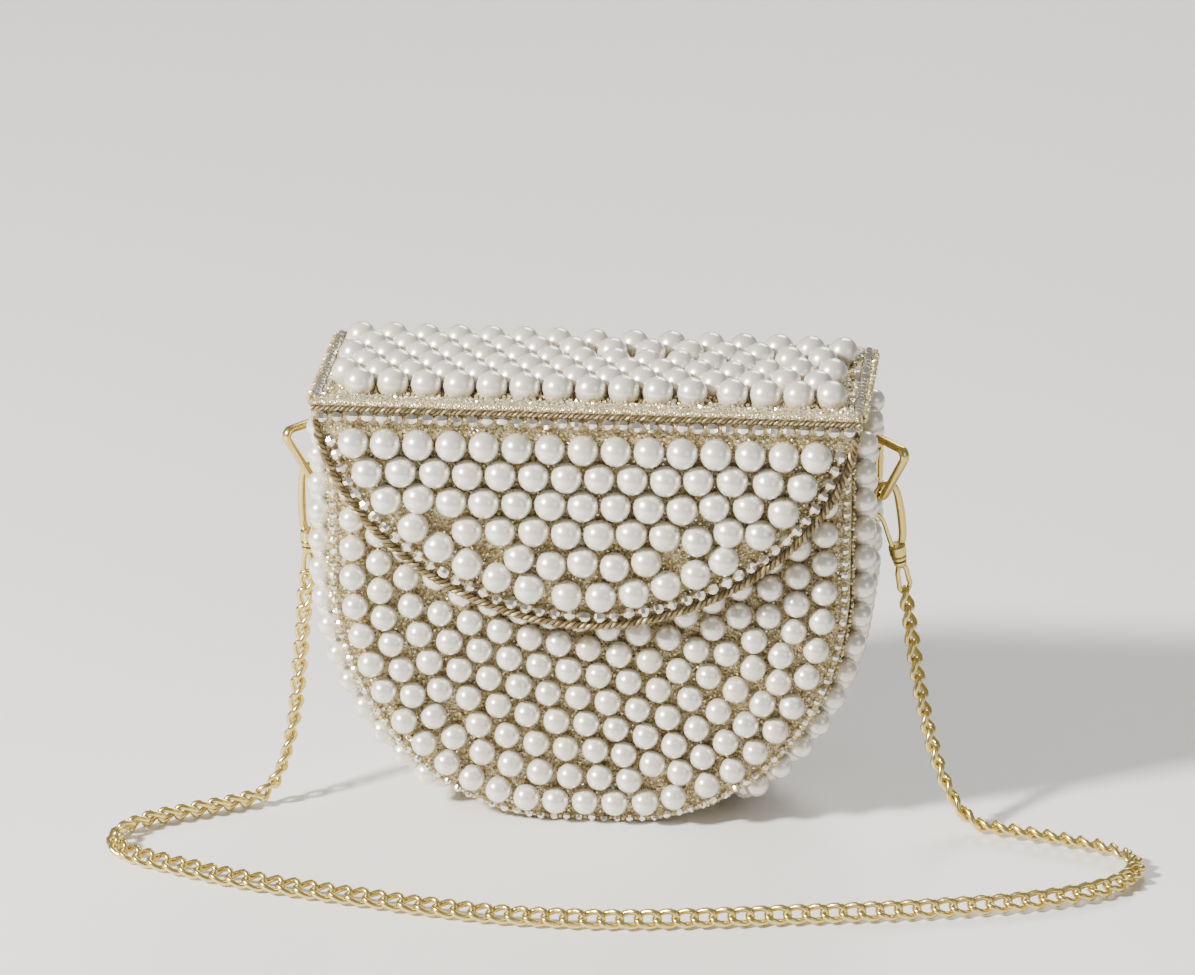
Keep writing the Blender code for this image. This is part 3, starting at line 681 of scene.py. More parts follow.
def side_places(side):
    """Pearls and their normals along one side of the gusset."""
    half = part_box(f"gusset_beadwork_{side}")[1][1] - SIDE_PEARL
    lift = SIDE_PEARL - SINK
    line = half_outline(0.0) + [Vector((HALF_WIDTH, BEAD_TOP))]
    sign = SIDES[side]
    start = next(index for index, point in enumerate(line) if point.x > BARE_BASE)
    points = []
    for index, (point, direction) in enumerate(along(line[start:], 4.95 * MM, 3.0 * MM)):
        rows = 5 if index % 2 else 4
        for row in range(rows):
            y = -half + 2 * half * (row if rows == 5 else row + 0.5) / 4 + DRAW.uniform(-0.4, 0.4) * MM
            behind_clasp = abs(y) < BARE_STRIP and point.y > BARE_FROM
            if behind_clasp or point.y > BEAD_TOP - SIDE_PEARL:
                continue
            normal = Vector((direction.y * sign, 0, -direction.x))
            points.append((Vector((point.x * sign, y, point.y)) + normal * lift, normal))
    return points


def pearl(point, normal, radius):
    return seat(point, normal, radius * DRAW.uniform(0.965, 1.01))


def sew_pearls():
    front = rows_on_panel((SNAP_CLEAR, SNAP_LEVEL))
    back = rows_on_panel(None)
    flap = rows_on_flap()
    top = rows_on_top()
    lift = BODY_PEARL - SINK
    places = [pearl((x, CLOTH_FRONT - lift, z), (0, -1, 0), BODY_PEARL) for x, z in front]
    sew_pearl_layer("front_pearls", places, "bag_body", "front_beadwork")
    places = [pearl((x, CLOTH_BACK + lift, z), (0, 1, 0), BODY_PEARL) for x, z in back]
    sew_pearl_layer("back_pearls", places, "bag_body", "back_beadwork")
    lift = FLAP_PEARL - FLAP_SINK
    places = [pearl((x, FLAP_FRONT - lift, z), (0, -1, 0), FLAP_PEARL) for x, z in flap]
    sew_pearl_layer("flap_front_pearls", places, "flap_front", "flap_front_beadwork")
    lift = FLAP_PEARL - TOP_SINK
    places = [pearl((x, y, FLAP_TOP + lift), (0, 0, 1), FLAP_PEARL) for x, y in top]
    sew_pearl_layer("flap_top_pearls", places, "flap_top", "flap_top_beadwork")
    for side in SIDES:
        places = [pearl(spot, normal, SIDE_PEARL) for spot, normal in side_places(side)]
        sew_pearl_layer(f"gusset_pearls_{side}", places, "bag_body", f"gusset_beadwork_{side}")
    return front, back, flap, top


# ---- seed beads

class Scatter:
    """Spreads seed beads over a panel, between the pearls and not on each other."""

    SEED_CELL = 3 * MM
    PEARL_CELL = 6 * MM

    def __init__(self, pearls, clear):
        self.clear = clear
        self.pearls = {}
        for pearl in pearls:
            self.pearls.setdefault(self.key(pearl, self.PEARL_CELL), []).append(pearl)
        self.seeds = {}
        self.found = []

    def key(self, point, size):
        return int(math.floor(point[0] / size)), int(math.floor(point[1] / size))

    def near(self, table, spot, size, within):
        reach = int(within / size) + 1
        column, row = self.key(spot, size)
        for i in range(column - reach, column + reach + 1):
            for j in range(row - reach, row + reach + 1):
                for other in table.get((i, j), ()):
                    if math.hypot(other[0] - spot[0], other[1] - spot[1]) < within:
                        return True
        return False

    def offer(self, spot):
        if self.near(self.seeds, spot, self.SEED_CELL, SEED_GAP):
            return
        if self.near(self.pearls, spot, self.PEARL_CELL, self.clear):
            return
        self.seeds.setdefault(self.key(spot, self.SEED_CELL), []).append(spot)
        self.found.append(spot)


def scatter(pearls, radius, low, high, tries, allowed=None):
    """Seed beads over the rectangle from low to high, clear of pearls of this radius."""
    field = Scatter([tuple(pearl) for pearl in pearls], radius * NEAR_PEARL)
    for _ in range(tries):
        spot = (DRAW.uniform(low[0], high[0]), DRAW.uniform(low[1], high[1]))
        if allowed is None or allowed(*spot):
            field.offer(spot)
    return field.found


def seed_radius():
    return SEED * DRAW.uniform(0.7, 1.25)


def sew_seeds(front, back, flap, top):
    edge = 3.4 * MM
    ceiling = BEAD_TOP + 1 * MM

    def on_body(x, z):
        return z < ceiling and body_room(x, z) > edge

    def on_front(x, z):
        return on_body(x, z) and math.hypot(x, z - SNAP_LEVEL) > SNAP_CLEAR

    def on_flap(x, z):
        return flap_room(x, z) > 6.0 * MM and z < FOLD.z - 6.4 * MM

    body_box = ((-HALF_WIDTH, 0.0), (HALF_WIDTH, ceiling))
    flap_box = ((-FLAP_HALF, FOLD.z - FLAP_DROP), (FLAP_HALF, FOLD.z))
    top_box = ((-FLAP_HALF + 4.4 * MM, FOLD.y + 1.6 * MM), (FLAP_HALF - 4.4 * MM, HINGE.y - 3.2 * MM))
    layers = [              # name, body, pearls, their radius, region, tries, rule, place, tones
        ("front_seed_beads", "bag_body", front, BODY_PEARL, body_box, 42000, on_front,
         lambda x, z, lift: (x, CLOTH_FRONT - lift, z), 0.1, 1.0),
        ("back_seed_beads", "bag_body", back, BODY_PEARL, body_box, 42000, on_body,
         lambda x, z, lift: (x, CLOTH_BACK + lift, z), 0.1, 1.0),
        ("flap_front_seed_beads", "flap_front", flap, FLAP_PEARL, flap_box, 34000, on_flap,
         lambda x, z, lift: (x, FLAP_FRONT - lift, z), 0.0, 0.9),
        ("flap_top_seed_beads", "flap_top", top, FLAP_PEARL, top_box, 30000, None,
         lambda x, y, lift: (x, y, FLAP_TOP + lift), 0.0, 0.75)]
    for name, body, pearls, radius, box, tries, allowed, lay, low, high in layers:
        spots = scatter(pearls, radius, *box, tries, allowed)
        places = [tumbled(lay(*spot, DRAW.uniform(*SEED_LIFT) * MM), seed_radius()) for spot in spots]
        sew_seed_layer(name, places, body, low, high)
    for side, sign in SIDES.items():
        sew_side_seeds(side, sign)


def sew_side_seeds(side, sign):
    """Seed beads on the gusset, spread on the flat and then laid along the outline."""
    step = 0.5 * MM
    line = half_outline(0.0) + [Vector((HALF_WIDTH, BEAD_TOP + 2 * MM))]
    stations = along(line, step)
    length = (len(stations) - 1) * step
    pearls = []
    for spot, normal in side_places(side):
        foot = Vector((abs(spot.x), spot.z)) - Vector((abs(normal.x), normal.z)) * (SIDE_PEARL - SINK)
        nearest = min(range(len(stations)), key=lambda index: (stations[index][0] - foot).length)
        pearls.append((nearest * step, spot.y))
    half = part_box("gusset_board")[1][1] - 0.8 * MM
    start = 40 * MM             # past the flat base
    spots = scatter(pearls, SIDE_PEARL, (start, -half), (length, half), 24000)
    tab_low, tab_high = 111 * MM, 127 * MM
    places = []
    for run, y in spots:
        point, direction = stations[int(run / step)]
        normal = Vector((direction.y * sign, 0, -direction.x))
        if abs(y) < 6.2 * MM and tab_low < point.y < tab_high:
            continue
        centre = Vector((point.x * sign, y, point.y)) + normal * DRAW.uniform(0.35, 1.1) * MM
        places.append(tumbled(centre, seed_radius()))
    sew_seed_layer(f"gusset_seed_beads_{side}", places, "bag_body", 0.1, 1.0)


# ---- bead rows and cords

def cut_row(path, radius, step, spacer):
    """Faceted beads along a path, with a small one between each two: (large, small) places."""
    large, small = [], []
    for index, (point, direction) in enumerate(evenly(path, step / 2)):
        if index % 2 == 0:
            sag = DRAW.uniform(-0.15, 0.15) * MM
            centre = point + Vector((sag, 0, sag))
            large.append(seat(centre, direction, radius * DRAW.uniform(0.93, 1.05), 0.92))
        else:
            small.append(tumbled(point, spacer * DRAW.uniform(0.85, 1.1)))
    return large, small


def sew_row(name, path, radius, step, spacer, body, node):
    large, small = cut_row(path, radius, step, spacer)
    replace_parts(sew(name, "cut", large, CUT_BEADS, body, 0.0, 0.6), node)
    # the spacer beads are real, but their darker seed tones, 0.55 to 1, are painted shade in the gaps
    # between the faceted beads
    sew_seed_layer(f"{name}_spacers", small, body, 0.55, 1.0)


def middle_line(node):
    """The two ends of a straight node's middle line along X."""
    low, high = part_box(node)
    middle = (Vector(low) + Vector(high)) / 2
    reach = Vector((high[0], 0, 0))
    return [middle - reach, middle + reach]


def in_front(points, y):
    """Points in (x, z) as places at one depth."""
    return [Vector((x, y, z)) for x, z in points]


def twisted_cord(name, path, radius, pitch, body, node):
    """Three strands laid round a path, each with its own tone."""
    strand = radius * 0.44
    lay = radius * 0.56
    steps = 12                  # stations to a turn
    stations = evenly(path, pitch / steps)
    shape = bmesh.new()
    for number, tone in enumerate((0.6, 0.42, 0.3)):
        route = []
        for index, (point, direction) in enumerate(stations):
            side = direction.cross(Vector((0, 1, 0))).normalized()
            up = side.cross(direction)
            turn = 2 * math.pi * (index / steps + number / 3)
            route.append(point + side * lay * math.cos(turn) + up * lay * math.sin(turn))
        mesh = swept(route, [strand] * len(route), 1)
        set_tone(mesh, tone)
        shape.from_mesh(mesh)
    bmesh.ops.remove_doubles(shape, verts=shape.verts, dist=WELD)
    piece = finished(name, shape, CORD)
    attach(piece, body)
    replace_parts(piece, node)


def sew_trims():
    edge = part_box("flap_edge_cord")
    cord_y = (edge[0][1] + edge[1][1]) / 2
    twisted_cord("flap_edge_twist", in_front(flap_line(1.4 * MM, 4 * MM), cord_y), 1.5 * MM, 6.2 * MM,
                 "flap_front", "flap_edge_cord")
    bead_y = FLAP_FRONT - CUT_BEAD * 0.8
    sew_row("flap_edge_bead_row", in_front(flap_line(5.0 * MM, 9.6 * MM), bead_y), CUT_BEAD, CUT_STEP,
            0.75 * MM, "flap_front", "flap_edge_beads")
    twisted_cord("fold_twist", middle_line("fold_cord"), 1.05 * MM, 5.0 * MM, "flap_front", "fold_cord")
    low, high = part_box("fold_beads")
    level = (low[2] + high[2]) / 2 + 0.7 * MM
    end = high[0] - 2.6 * MM
    sew_row("fold_bead_row", [Vector((-end, bead_y, level)), Vector((end, bead_y, level))], CUT_BEAD,
            CUT_STEP, 0.75 * MM, "flap_front", "fold_beads")
    for side, sign in SIDES.items():
        sew_top_side(side, sign)
    sew_top_rows()
    for name, node, y in (("front_seam_beads", "front_edge_beads", CLOTH_FRONT - SEAM_BEAD),
                          ("back_seam_beads", "back_edge_beads", CLOTH_BACK + SEAM_BEAD)):
        path = in_front(body_line(1.56 * MM, MOUTH - 2 * MM), y)
        sew_row(name, path, SEAM_BEAD, SEAM_STEP, 0.65 * MM, "bag_body", node)
    sew_row("back_mouth_row", middle_line("back_mouth_beads"), SEAM_BEAD, SEAM_STEP, 0.65 * MM,
            "bag_body", "back_mouth_beads")


TOP_ENDS = (FOLD.y + 2.3 * MM, HINGE.y - 2.3 * MM)


def sew_top_side(side, sign):
    """A bead row with a finer one inside it and a picot of small gold beads outside it."""
    front, back = TOP_ENDS
    level = FLAP_TOP + 1.1 * MM
    row_x = sign * (FLAP_HALF - 1.6 * MM)
    row = [Vector((row_x, front, level)), Vector((row_x, back, level))]
    sew_row(f"flap_side_row_{side}", row, 1.35 * MM, 3.3 * MM, 0.6 * MM, "flap_top",
            f"flap_side_beads_{side}")
    sew_line(f"flap_inner_row_{side}", sign * (FLAP_HALF - 3.9 * MM), 0.95 * MM)
    places = []
    picot_x = sign * (FLAP_HALF + 0.6 * MM)
    for point, _ in along([Vector((picot_x, front, 0)), Vector((picot_x, back, 0))], 1.75 * MM):
        for layer in range(3):
            z = FLAP_TOP + 0.7 * MM - layer * 1.25 * MM
            x = point.x + sign * (0.5 if layer == 1 else 0.0) * MM
            y = point.y + DRAW.uniform(-0.3, 0.3) * MM
            places.append(tumbled((x, y, z), 0.85 * MM))
    sew_seed_layer(f"flap_picot_{side}", places, "flap_top", 0.35, 0.85)


def sew_top_rows():
    """The fringe of small beads behind the fold, and the row beside the hinge."""
    half = FLAP_HALF - 3 * MM
    level = FLAP_TOP + 0.75 * MM
    places = []
    for y, shift in ((FOLD.y + 3.3 * MM, 0.0), (FOLD.y + 1.5 * MM, 0.8 * MM)):
        for point, _ in along([Vector((-half + shift, y, level)), Vector((half, y, level))], 1.75 * MM):
            point.y += jitter(0.2)
            places.append(tumbled(point, 0.86 * MM * DRAW.uniform(0.85, 1.1)))
    sew_seed_layer("flap_fold_fringe", places, "flap_top", 0.0, 0.4)
    y, level = HINGE.y - 2.2 * MM, FLAP_TOP + 1.1 * MM
    row = along([Vector((-half, y, level)), Vector((half, y, level))], 2.1 * MM)
    places = [tumbled(point, (1.25 if index % 2 else 0.8) * MM) for index, (point, _) in enumerate(row)]
    sew_seed_layer("flap_back_row", places, "flap_top", 0.0, 0.3)


def sew_line(name, x, radius):
    """One row of small silver beads along the top panel."""
    level = FLAP_TOP + radius * 0.8
    places = []
    for point, _ in along([Vector((x, y, level)) for y in TOP_ENDS], radius * 2.1):
        point.x += jitter(0.2)
        places.append(tumbled(point, radius * DRAW.uniform(0.85, 1.08)))
    sew_seed_layer(name, places, "flap_top", 0.0, 0.35)


# ---- inside

STITCH = 2.3 * MM
STITCH_STEP = 3.3 * MM
THREAD = 0.24 * MM


def stitch(name, paths, body):
    """Running stitches along each path."""
    places = []
    for path in paths:
        for point, direction in evenly(path, STITCH_STEP):
            turn = direction.to_track_quat("X", "Z").to_matrix().to_4x4()
            size = Matrix.Diagonal((STITCH / 2, THREAD, THREAD, 1))
            places.append(Matrix.Translation(point) @ turn @ size)
    sew(name, "seed", places, SILK, body)


def sew_inside():
    """Stitched edges of the linings and the pocket's hem."""
    raise_thread = THREAD * 0.4
    front_low, front_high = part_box("front_lining")
    inset = 5.6 * MM
    top = front_high[2] - 3.2 * MM
    left, right = front_low[0] + 2 * MM, front_high[0] - 2 * MM
    for name, rest in (("front_lining_stitches", front_high[1] + raise_thread),
                       ("back_lining_stitches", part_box("back_lining")[0][1] - raise_thread)):
        mouth = in_front([(left, top), (right, top)], rest)
        stitch(name, [mouth, in_front(body_line(inset, top), rest)], "bag_body")
    low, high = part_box("inner_pocket")
    rest = low[1] - raise_thread
    side, hem, base = high[0] - 1.6 * MM, high[2] - 4 * MM, low[2] + 1.6 * MM
    outline = [(-side, hem), (-side, base), (side, base), (side, hem)]
    hems = [[(-side, hem + lift), (side, hem + lift)] for lift in (0.0, 2.6 * MM)]
    stitch("pocket_stitches", [in_front(path, rest) for path in [outline] + hems], "bag_body")
    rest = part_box("flap_front_lining")[1][1] + raise_thread
    edge = flap_line(4.2 * MM, 4.4 * MM)
    stitch("flap_front_stitches", [in_front(edge, rest), in_front([edge[0], edge[-1]], rest)],
           "flap_front")
    low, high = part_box("flap_top_lining")
    rest = low[2] - raise_thread
    near, far, half = low[1] + 2.4 * MM, high[1] - 2.4 * MM, high[0] - 3.2 * MM
    corners = [(-half, near), (half, near), (half, far), (-half, far), (-half, near)]
    stitch("flap_top_stitches", [[Vector((x, y, rest)) for x, y in corners]], "flap_top")


# ---- bending cloth

def bending_cloth(name, profile, half):
    """A strip of the mesh cloth over a bend; profile is its section in (y, z)."""
    shape = bmesh.new()
    verts = [shape.verts.new((-half, y, z)) for y, z in profile]
    edges = [shape.edges.new(pair) for pair in zip(verts, verts[1:])]
    result = bmesh.ops.extrude_edge_only(shape, edges=edges)
    moved = [item for item in result["geom"] if isinstance(item, bmesh.types.BMVert)]
    bmesh.ops.translate(shape, verts=moved, vec=(2 * half, 0, 0))
    bmesh.ops.recalc_face_normals(shape, faces=shape.faces)
    bmesh.ops.solidify(shape, geom=shape.faces[:], thickness=0.35 * MM)
    piece = finished(name, shape, GLITTER)
    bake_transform(piece)


def bend_profile(first, centre, radius, turns, last):
    points = [first]
    for turn in turns:
        angle = math.radians(turn)
        points.append((centre.y + radius * math.cos(angle), centre.z + radius * math.sin(angle)))
    return points + [last]


def bending_strips():
    radius = 1.75 * MM
    hinge = bend_profile((CLOTH_BACK + 0.45 * MM, MOUTH - 4 * MM), HINGE, radius,
                         [-35, -10, 15, 40, 65, 85], (HINGE.y - 5 * MM, FLAP_TOP + 0.4 * MM))
    bending_cloth("hinge_cloth", hinge, FLAP_HALF - 5 * MM)
    fold = bend_profile((FOLD.y + 4 * MM, FLAP_TOP + 0.4 * MM), FOLD, radius,
                        [95, 120, 145, 170, 185], (FLAP_FRONT - 0.4 * MM, FOLD.z - 5 * MM))
    bending_cloth("fold_cloth", fold, FLAP_HALF - 1 * MM)


# ---- rings and clasps

def clasp_frame(side):
    """The clasp's own axes: X away from the gate, Y across the hook, Z up along the clasp."""
    swing = JOINTS[f"clasp_swing_{side}"]
    up = Vector(JOINTS[f"eye_swivel_{side}"]["axis"]).normalized()
    across = -Vector(swing["axis"]).normalized()
    away = across.cross(up).normalized()
    turn = Matrix((away, across, up)).transposed().to_4x4()
    return Matrix.Translation(swing["pos_m"]) @ turn


def smooth(points, step):
    """A smooth curve through the points, at even steps."""
    route = [Vector(point) for point in points]
    route = [2 * route[0] - route[1]] + route + [2 * route[-1] - route[-2]]
    fine = []
    for before, start, end, after in zip(route, route[1:], route[2:], route[3:]):
        for part in range(24):
            t = part / 24
            fine.append(0.5 * (2 * start + (end - before) * t
                               + (2 * before - 5 * start + 4 * end - after) * t ** 2
                               + (3 * start - before - 3 * end + after) * t ** 3))
    fine.append(route[-2])
    return [point for point, _ in evenly(fine, step)]


def wire_shape(points, widths, closed=False, flat=1.0, sides=10):
    """A wire as a bmesh; flat stretches it across the route's plane."""
    mesh = swept(points, widths, sides // 2 - 1, closed)
    shape = bmesh.new()
    shape.from_mesh(mesh)
    bpy.data.meshes.remove(mesh)
    bmesh.ops.remove_doubles(shape, verts=shape.verts, dist=WELD)
    bmesh.ops.scale(shape, vec=(1, flat, 1), verts=shape.verts)
    bmesh.ops.recalc_face_normals(shape, faces=shape.faces)
    return shape


def add_turned(shape, profile):
    """Adds a turned piece round the clasp's long axis; profile is (radius, height) in mm, from below."""
    turned = bmesh.new()
    verts = [turned.verts.new((radius * MM, 0, height * MM)) for radius, height in profile]
    edges = [turned.edges.new(pair) for pair in zip(verts, verts[1:])]
    bmesh.ops.spin(turned, geom=verts + edges, cent=(0, 0, 0), axis=(0, 0, 1), dvec=(0, 0, 0),
                   angle=2 * math.pi, steps=28, use_merge=True)
    bmesh.ops.remove_doubles(turned, verts=turned.verts, dist=WELD)
    bmesh.ops.translate(turned, verts=turned.verts, vec=(CLASP_AXIS * MM, 0, 0))
    bmesh.ops.recalc_face_normals(turned, faces=turned.faces)
    mesh = bpy.data.meshes.new("turned")
    turned.to_mesh(mesh)
    turned.free()
    shape.from_mesh(mesh)
    bpy.data.meshes.remove(mesh)


def metal_piece(name, shape, place, body, node):
    bmesh.ops.transform(shape, matrix=place, verts=shape.verts)
    piece = finished(name, shape, GOLD)
    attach(piece, body)
    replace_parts(piece, node)


CLASP_AXIS = 2.4            # the clasp's long axis from the ring's wire, in mm
NECK_TOP, NECK_BOTTOM = -19.5, -25.5
HOOK_ROUTE = [
    (CLASP_AXIS + 1.6, NECK_TOP - 1.5), (CLASP_AXIS + 3.3, NECK_TOP + 2.5), (CLASP_AXIS + 4.2, -10.5),
    (CLASP_AXIS + 4.4, -6.0), (CLASP_AXIS + 4.3, -1.8), (CLASP_AXIS + 3.4, 1.3),
    (CLASP_AXIS + 1.5, 3.1), (CLASP_AXIS - 0.8, 3.6), (0.0, 3.1), (-1.9, 2.0),
    (-2.95, 0.0), (-3.15, -1.8), (-3.1, -3.5)]
GATE_ROUTE = [
    (CLASP_AXIS - 1.2, NECK_TOP - 0.8), (CLASP_AXIS - 2.2, NECK_TOP + 2.2), (-1.0, -8.8),
    (-2.8, -5.4), (-3.9, -5.1),
    (-4.7, -6.2), (-4.2, -7.5)]


def raised(points):
    return [(x * MM, 0.0, z * MM) for x, z in points]


def tapered(route, width):
    """A wire's radius at each point of a route; width takes the share of the way along, and gives mm."""
    return [width(index / (len(route) - 1)) * MM for index in range(len(route))]


def make_claw(side, place):
    route = smooth(raised(HOOK_ROUTE), 0.7 * MM)
    widths = tapered(route, lambda share: 1.35 - 0.35 * share
                     + 0.25 * math.sin(math.pi * min(1.0, share * 1.6)))
    shape = wire_shape(route, widths, flat=0.85)
    add_turned(shape, [
        (0.0, NECK_BOTTOM), (2.1, NECK_BOTTOM), (2.6, NECK_BOTTOM + 0.5), (2.6, NECK_BOTTOM + 1.3),
        (2.2, NECK_BOTTOM + 1.7), (2.9, NECK_BOTTOM + 2.3), (2.9, NECK_TOP - 0.7), (2.2, NECK_TOP),
        (0.0, NECK_TOP)])
    metal_piece(f"clasp_hook_{side}", shape, place, f"clasp_body_{side}", f"claw_{side}")


def make_gate(side, place):
    route = smooth(raised(GATE_ROUTE), 0.5 * MM)
    widths = tapered(route, lambda share: 0.85 - 0.2 * share + 0.2 * max(0.0, share - 0.85) / 0.15)
    shape = wire_shape(route, widths, sides=8)
    metal_piece(f"clasp_gate_{side}", shape, place, f"gate_body_{side}", f"gate_{side}")


def make_eye(side, place):
    """A pear-shaped loop of wire under a turned collar."""
    top = NECK_BOTTOM - 0.3
    radius = 2.3
    centre = top - 12.5 + 3.2
    right = [(radius * math.cos(math.radians(turn)), centre + radius * math.sin(math.radians(turn)))
             for turn in range(-90, 26, 23)]
    right += [(1.9, top - 4.4), (1.2, top - 2.4), (0.75, top - 1.6)]
    left = [(-x, z) for x, z in reversed(right[1:])]
    route = raised([(CLASP_AXIS + x, z) for x, z in right + left])
    shape = wire_shape(route, [0.9 * MM] * len(route), closed=True)
    add_turned(shape, [(0.0, top - 2.6), (1.3, top - 2.4), (2.2, top - 1.2), (2.3, top - 0.2), (2.1, top),
                       (0.0, top)])
    metal_piece(f"clasp_eye_{side}", shape, place, f"eye_body_{side}", f"swivel_eye_{side}")


def rounded(corners, radii, steps=8):
    """A closed path through the corners, each turned by an arc of its own radius."""
    path = []
    count = len(corners)
    for index, radius in enumerate(radii):
        here = Vector(corners[index])
        back = (Vector(corners[index - 1]) - here).normalized()
        ahead = (Vector(corners[(index + 1) % count]) - here).normalized()
        half = back.angle(ahead) / 2
        centre = here + (back + ahead).normalized() * radius / math.sin(half)
        first = here + back * radius / math.tan(half) - centre
        last = here + ahead * radius / math.tan(half) - centre
        sweep = first.angle_signed(last)
        for step in range(steps + 1):
            spoke = Matrix.Rotation(-sweep * step / steps, 2) @ first
            path.append(tuple(centre + spoke))
    return path


RING_CORNERS = [(0.0, 128.3), (16.5, 127.5), (0.0, 102.0)]      # along the ring and up, in mm
RING_BENDS = (1.6, 2.2, 2.6)
RING_WIRE = 1.3 * MM
RING_TURN = {"left": math.radians(228), "right": math.radians(-48)}


def make_ring(side):
    path = raised(rounded(RING_CORNERS, RING_BENDS))
    shape = wire_shape(path, [RING_WIRE] * len(path), closed=True, flat=1.4, sides=12)
    x, y, _ = JOINTS[f"ring_swing_{side}"]["pos_m"]
    place = Matrix.Translation((x, y, 0)) @ Matrix.Rotation(RING_TURN[side], 4, "Z")
    metal_piece(f"triangle_ring_{side}", shape, place, f"ring_body_{side}", f"ring_{side}")


def hardware():
    for side in SIDES:
        place = clasp_frame(side)
        make_ring(side)
        make_claw(side, place)
        make_gate(side, place)
        make_eye(side, place)


# ---- chain

CHAIN_HEIGHT = 3.55
CHAIN_LEFT_DROP = [
    (-98.1, 1.3, 69.5), (-99.0, -0.8, 60.4), (-99.7, -6.0, 46.0),
    (-100.4, -13.0, 31.5), (-101.9, -18.6, 20.6), (-104.2, -23.0, 12.4), (-107.8, -26.6, 6.4)]
CHAIN_FLOOR = [
    (-113.4, -30.2), (-122.0, -36.0), (-134.0, -43.6), (-144.4, -50.6), (-150.9, -57.8),
    (-153.2, -66.6), (-150.6, -75.6), (-142.6, -82.4), (-127.0, -89.8), (-108.0, -97.4),
    (-87.0, -103.4), (-66.0, -108.6), (-44.0, -113.8), (-18.0, -118.2), (14.0, -118.8),
    (45.0, -114.6), (72.0, -109.4), (98.0, -104.4), (121.0, -99.0), (145.0, -92.0),
    (165.0, -83.0), (178.6, -71.6), (182.6, -57.8), (175.4, -46.6), (160.0, -39.4),
    (145.0, -34.4), (132.4, -30.2)]
CHAIN_RIGHT_DROP = [
    (124.4, -26.9, 7.2), (118.2, -22.6, 15.8), (113.8, -17.8, 26.0), (110.4, -12.2, 36.8),
    (107.4, -6.0, 48.4), (104.8, 1.2, 60.4), (103.0, 5.4, 69.6)]
LINK_LENGTH = 9.4 * MM
LINK_WIDTH = 6.9 * MM
LINK_WIRE = 1.05 * MM
LINK_PITCH = 6.0 * MM
UPPER_DROP = 44 * MM         # length of chain in each end's upper stretch


def link_pattern():
    """One curb link: an oval ring twisted so that its neighbours pass through it."""
    steps = 16
    points = []
    for step in range(steps):
        turn = 2 * math.pi * step / steps
        points.append(((LINK_LENGTH / 2 - LINK_WIRE) * math.cos(turn),
                       (LINK_WIDTH / 2 - LINK_WIRE) * math.sin(turn),
                       LINK_WIRE * 1.08 * math.sin(2 * turn)))
    shape = wire_shape(points, [LINK_WIRE] * steps, closed=True, sides=6)
    mesh = bpy.data.meshes.new("link_pattern")
    shape.to_mesh(mesh)
    shape.free()
    mesh.shade_smooth()
    return mesh


def chain_piece(name, stations, pattern, bodies, node):
    """The links at these stations as one piece, attached to its body when it has only one."""
    placed = []
    for number, point, direction in stations:
        side = direction.cross(Vector((0, 0, 1)))
        side = (side if side.length > 0.3 else direction.cross(Vector((0, -1, 0)))).normalized()
        up = side.cross(direction).normalized()
        roll = -math.radians(42 + 12 * math.sin(number * 0.13) + DRAW.uniform(-5, 5))
        across = side * math.cos(roll) + up * math.sin(roll)
        turn = Matrix((direction, across, direction.cross(across))).transposed().to_4x4()
        placed.append((pattern, Matrix.Translation(point) @ turn))
    piece = joined(name, placed, CHAIN_GOLD)
    if len(bodies) == 1:
        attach(piece, bodies[0])
    else:
        stations[0][1]
        stations[-1][1]
        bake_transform(piece)
    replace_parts(piece, node)
    path = [point for _, point, _ in stations]
    path = [path[0] - stations[0][2] * LINK_PITCH / 2] + path + [path[-1] + stations[-1][2] * LINK_PITCH / 2]
    length = sum((there - here).length for here, there in zip(path, path[1:]))
    tuple(path[0])
    [tuple(point) for point in path]


def chain():
    """The strap, in five stretches: the loop on the floor goes with the bag's body, and each hanging end is
    in two stretches.
    """
    floor = [(x, y, CHAIN_HEIGHT) for x, y in CHAIN_FLOOR]
    points = [Vector(point) * MM for point in CHAIN_LEFT_DROP + floor + CHAIN_RIGHT_DROP]
    route = smooth(points, 2 * MM)
    for point in route:
        point.z = max(point.z, CHAIN_HEIGHT * MM)
    stations = [(number, *station) for number, station in enumerate(evenly(route, LINK_PITCH))]
    upper = round(UPPER_DROP / LINK_PITCH) + 1
    low = [index for index, (_, point, _) in enumerate(stations) if point.z < (CHAIN_HEIGHT + 0.4) * MM]
    first, last = low[3], low[-3]
    pattern = link_pattern()
    right = list(reversed(stations[last:]))
    chain_piece("chain_left_upper", stations[:upper], pattern,
                ("clasp_body_left", "ring_body_left"), "chain_left_drop")
    chain_piece("chain_left_lower", stations[upper:first], pattern,
                ("ring_body_left", "bag_body"), "chain_left_drop")
    chain_piece("chain_floor_loop", stations[first:last], pattern, ("bag_body",), "chain_floor_run")
    chain_piece("chain_right_upper", right[:upper], pattern,
                ("clasp_body_right", "ring_body_right"), "chain_right_drop")
    chain_piece("chain_right_lower", right[upper:], pattern,
                ("ring_body_right", "bag_body"), "chain_right_drop")


# ---- carried-over pieces

def paint_frame():
    """Finishes for the pieces that keep the frame's own shape."""
    finishes = {
        GLITTER: ["front_board", "back_board", "gusset_board", "flap_top_board", "flap_front_board",
                  "flap_hinge_strip", "flap_fold_strip", "snap_female_plate", "snap_male_plate"],
        SATIN: ["front_lining", "back_lining", "gusset_lining", "inner_pocket", "flap_top_lining",
                "flap_front_lining"],
        STEEL: ["snap_female", "snap_male", "gate_spring_left", "gate_spring_right"],
        GOLD: ["ring_tab_left", "ring_tab_right", "gate_rivet_left", "gate_rivet_right"]}
    for material, names in finishes.items():
        for name in names:
            mesh = frame["nodes"][name].data
            mesh.materials.clear()
            mesh.materials.append(material)


# ---- studio

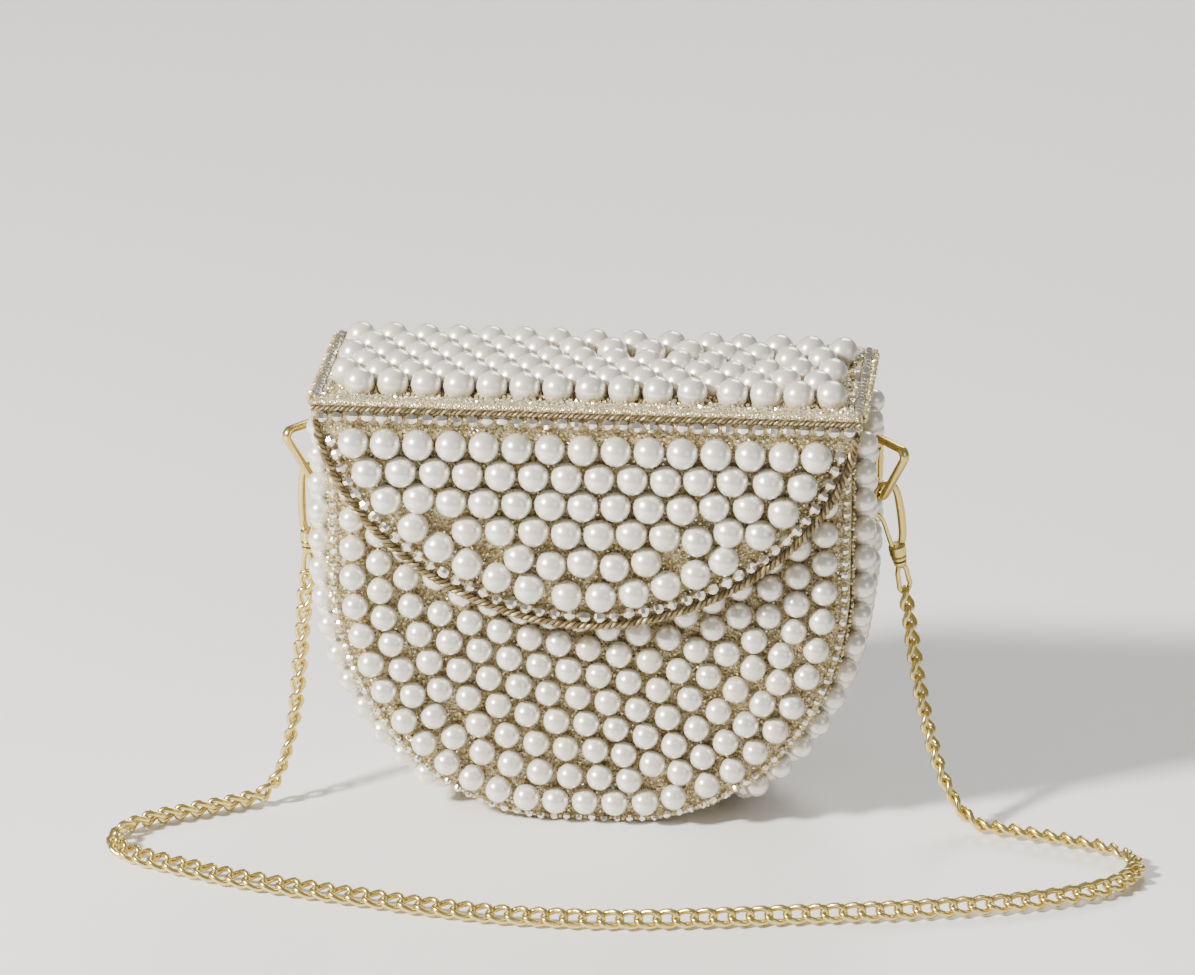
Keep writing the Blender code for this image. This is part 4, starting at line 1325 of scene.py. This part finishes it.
CAMERA_AIM = Vector((0, 0, 0.1073))
CAMERA_AWAY = 2.2
CAMERA_AZIMUTH, CAMERA_ELEVATION = math.radians(5.6), math.radians(20)
CAMERA_LENS = 199.5
LAMPS = [                   # name, place, size, power and colour
    ("key", (-1.5, -1.0, 1.3), 0.26, 150, (1.0, 0.96, 0.90)),
    ("fill", (1.6, -1.4, 0.9), 1.2, 6, (0.95, 0.97, 1.0)),
    ("back", (0.3, 1.6, 1.3), 0.9, 20, (1.0, 0.97, 0.93))]


def studio():
    shape = bmesh.new()
    bmesh.ops.create_grid(shape, x_segments=2, y_segments=2, size=4.0)
    finished("floor", shape, floor_finish(), smooth=False)

    camera = bpy.data.objects.new("camera", bpy.data.cameras.new("camera"))
    bpy.context.scene.collection.objects.link(camera)
    bpy.context.scene.camera = camera
    level = math.cos(CAMERA_ELEVATION)
    offset = Vector((math.sin(CAMERA_AZIMUTH) * level, -math.cos(CAMERA_AZIMUTH) * level,
                     math.sin(CAMERA_ELEVATION)))
    camera.location = CAMERA_AIM + offset * CAMERA_AWAY
    camera.rotation_euler = (-offset).to_track_quat("-Z", "Y").to_euler()
    camera.data.lens = CAMERA_LENS
    camera.data.sensor_width = 36.0
    camera.data.clip_end = 20.0

    world = bpy.data.worlds.new("studio")
    bpy.context.scene.world = world
    world.use_nodes = True
    background = world.node_tree.nodes["Background"]
    background.inputs["Color"].default_value = (0.90, 0.88, 0.86, 1)
    background.inputs["Strength"].default_value = 0.33
    for settings in LAMPS:
        lamp(*settings)


def lamp(name, place, size, power, colour):
    light = bpy.data.lights.new(name, "AREA")
    light.shape = "SQUARE"
    light.size = size
    light.energy = power
    light.color = colour
    thing = bpy.data.objects.new(name, light)
    bpy.context.scene.collection.objects.link(thing)
    thing.location = place
    thing.rotation_euler = (Vector((0, 0, 0.08)) - Vector(place)).to_track_quat("-Z", "Y").to_euler()


studio()
chain()
paint_frame()
sew_seeds(*sew_pearls())
sew_trims()
sew_inside()
bending_strips()
hardware()
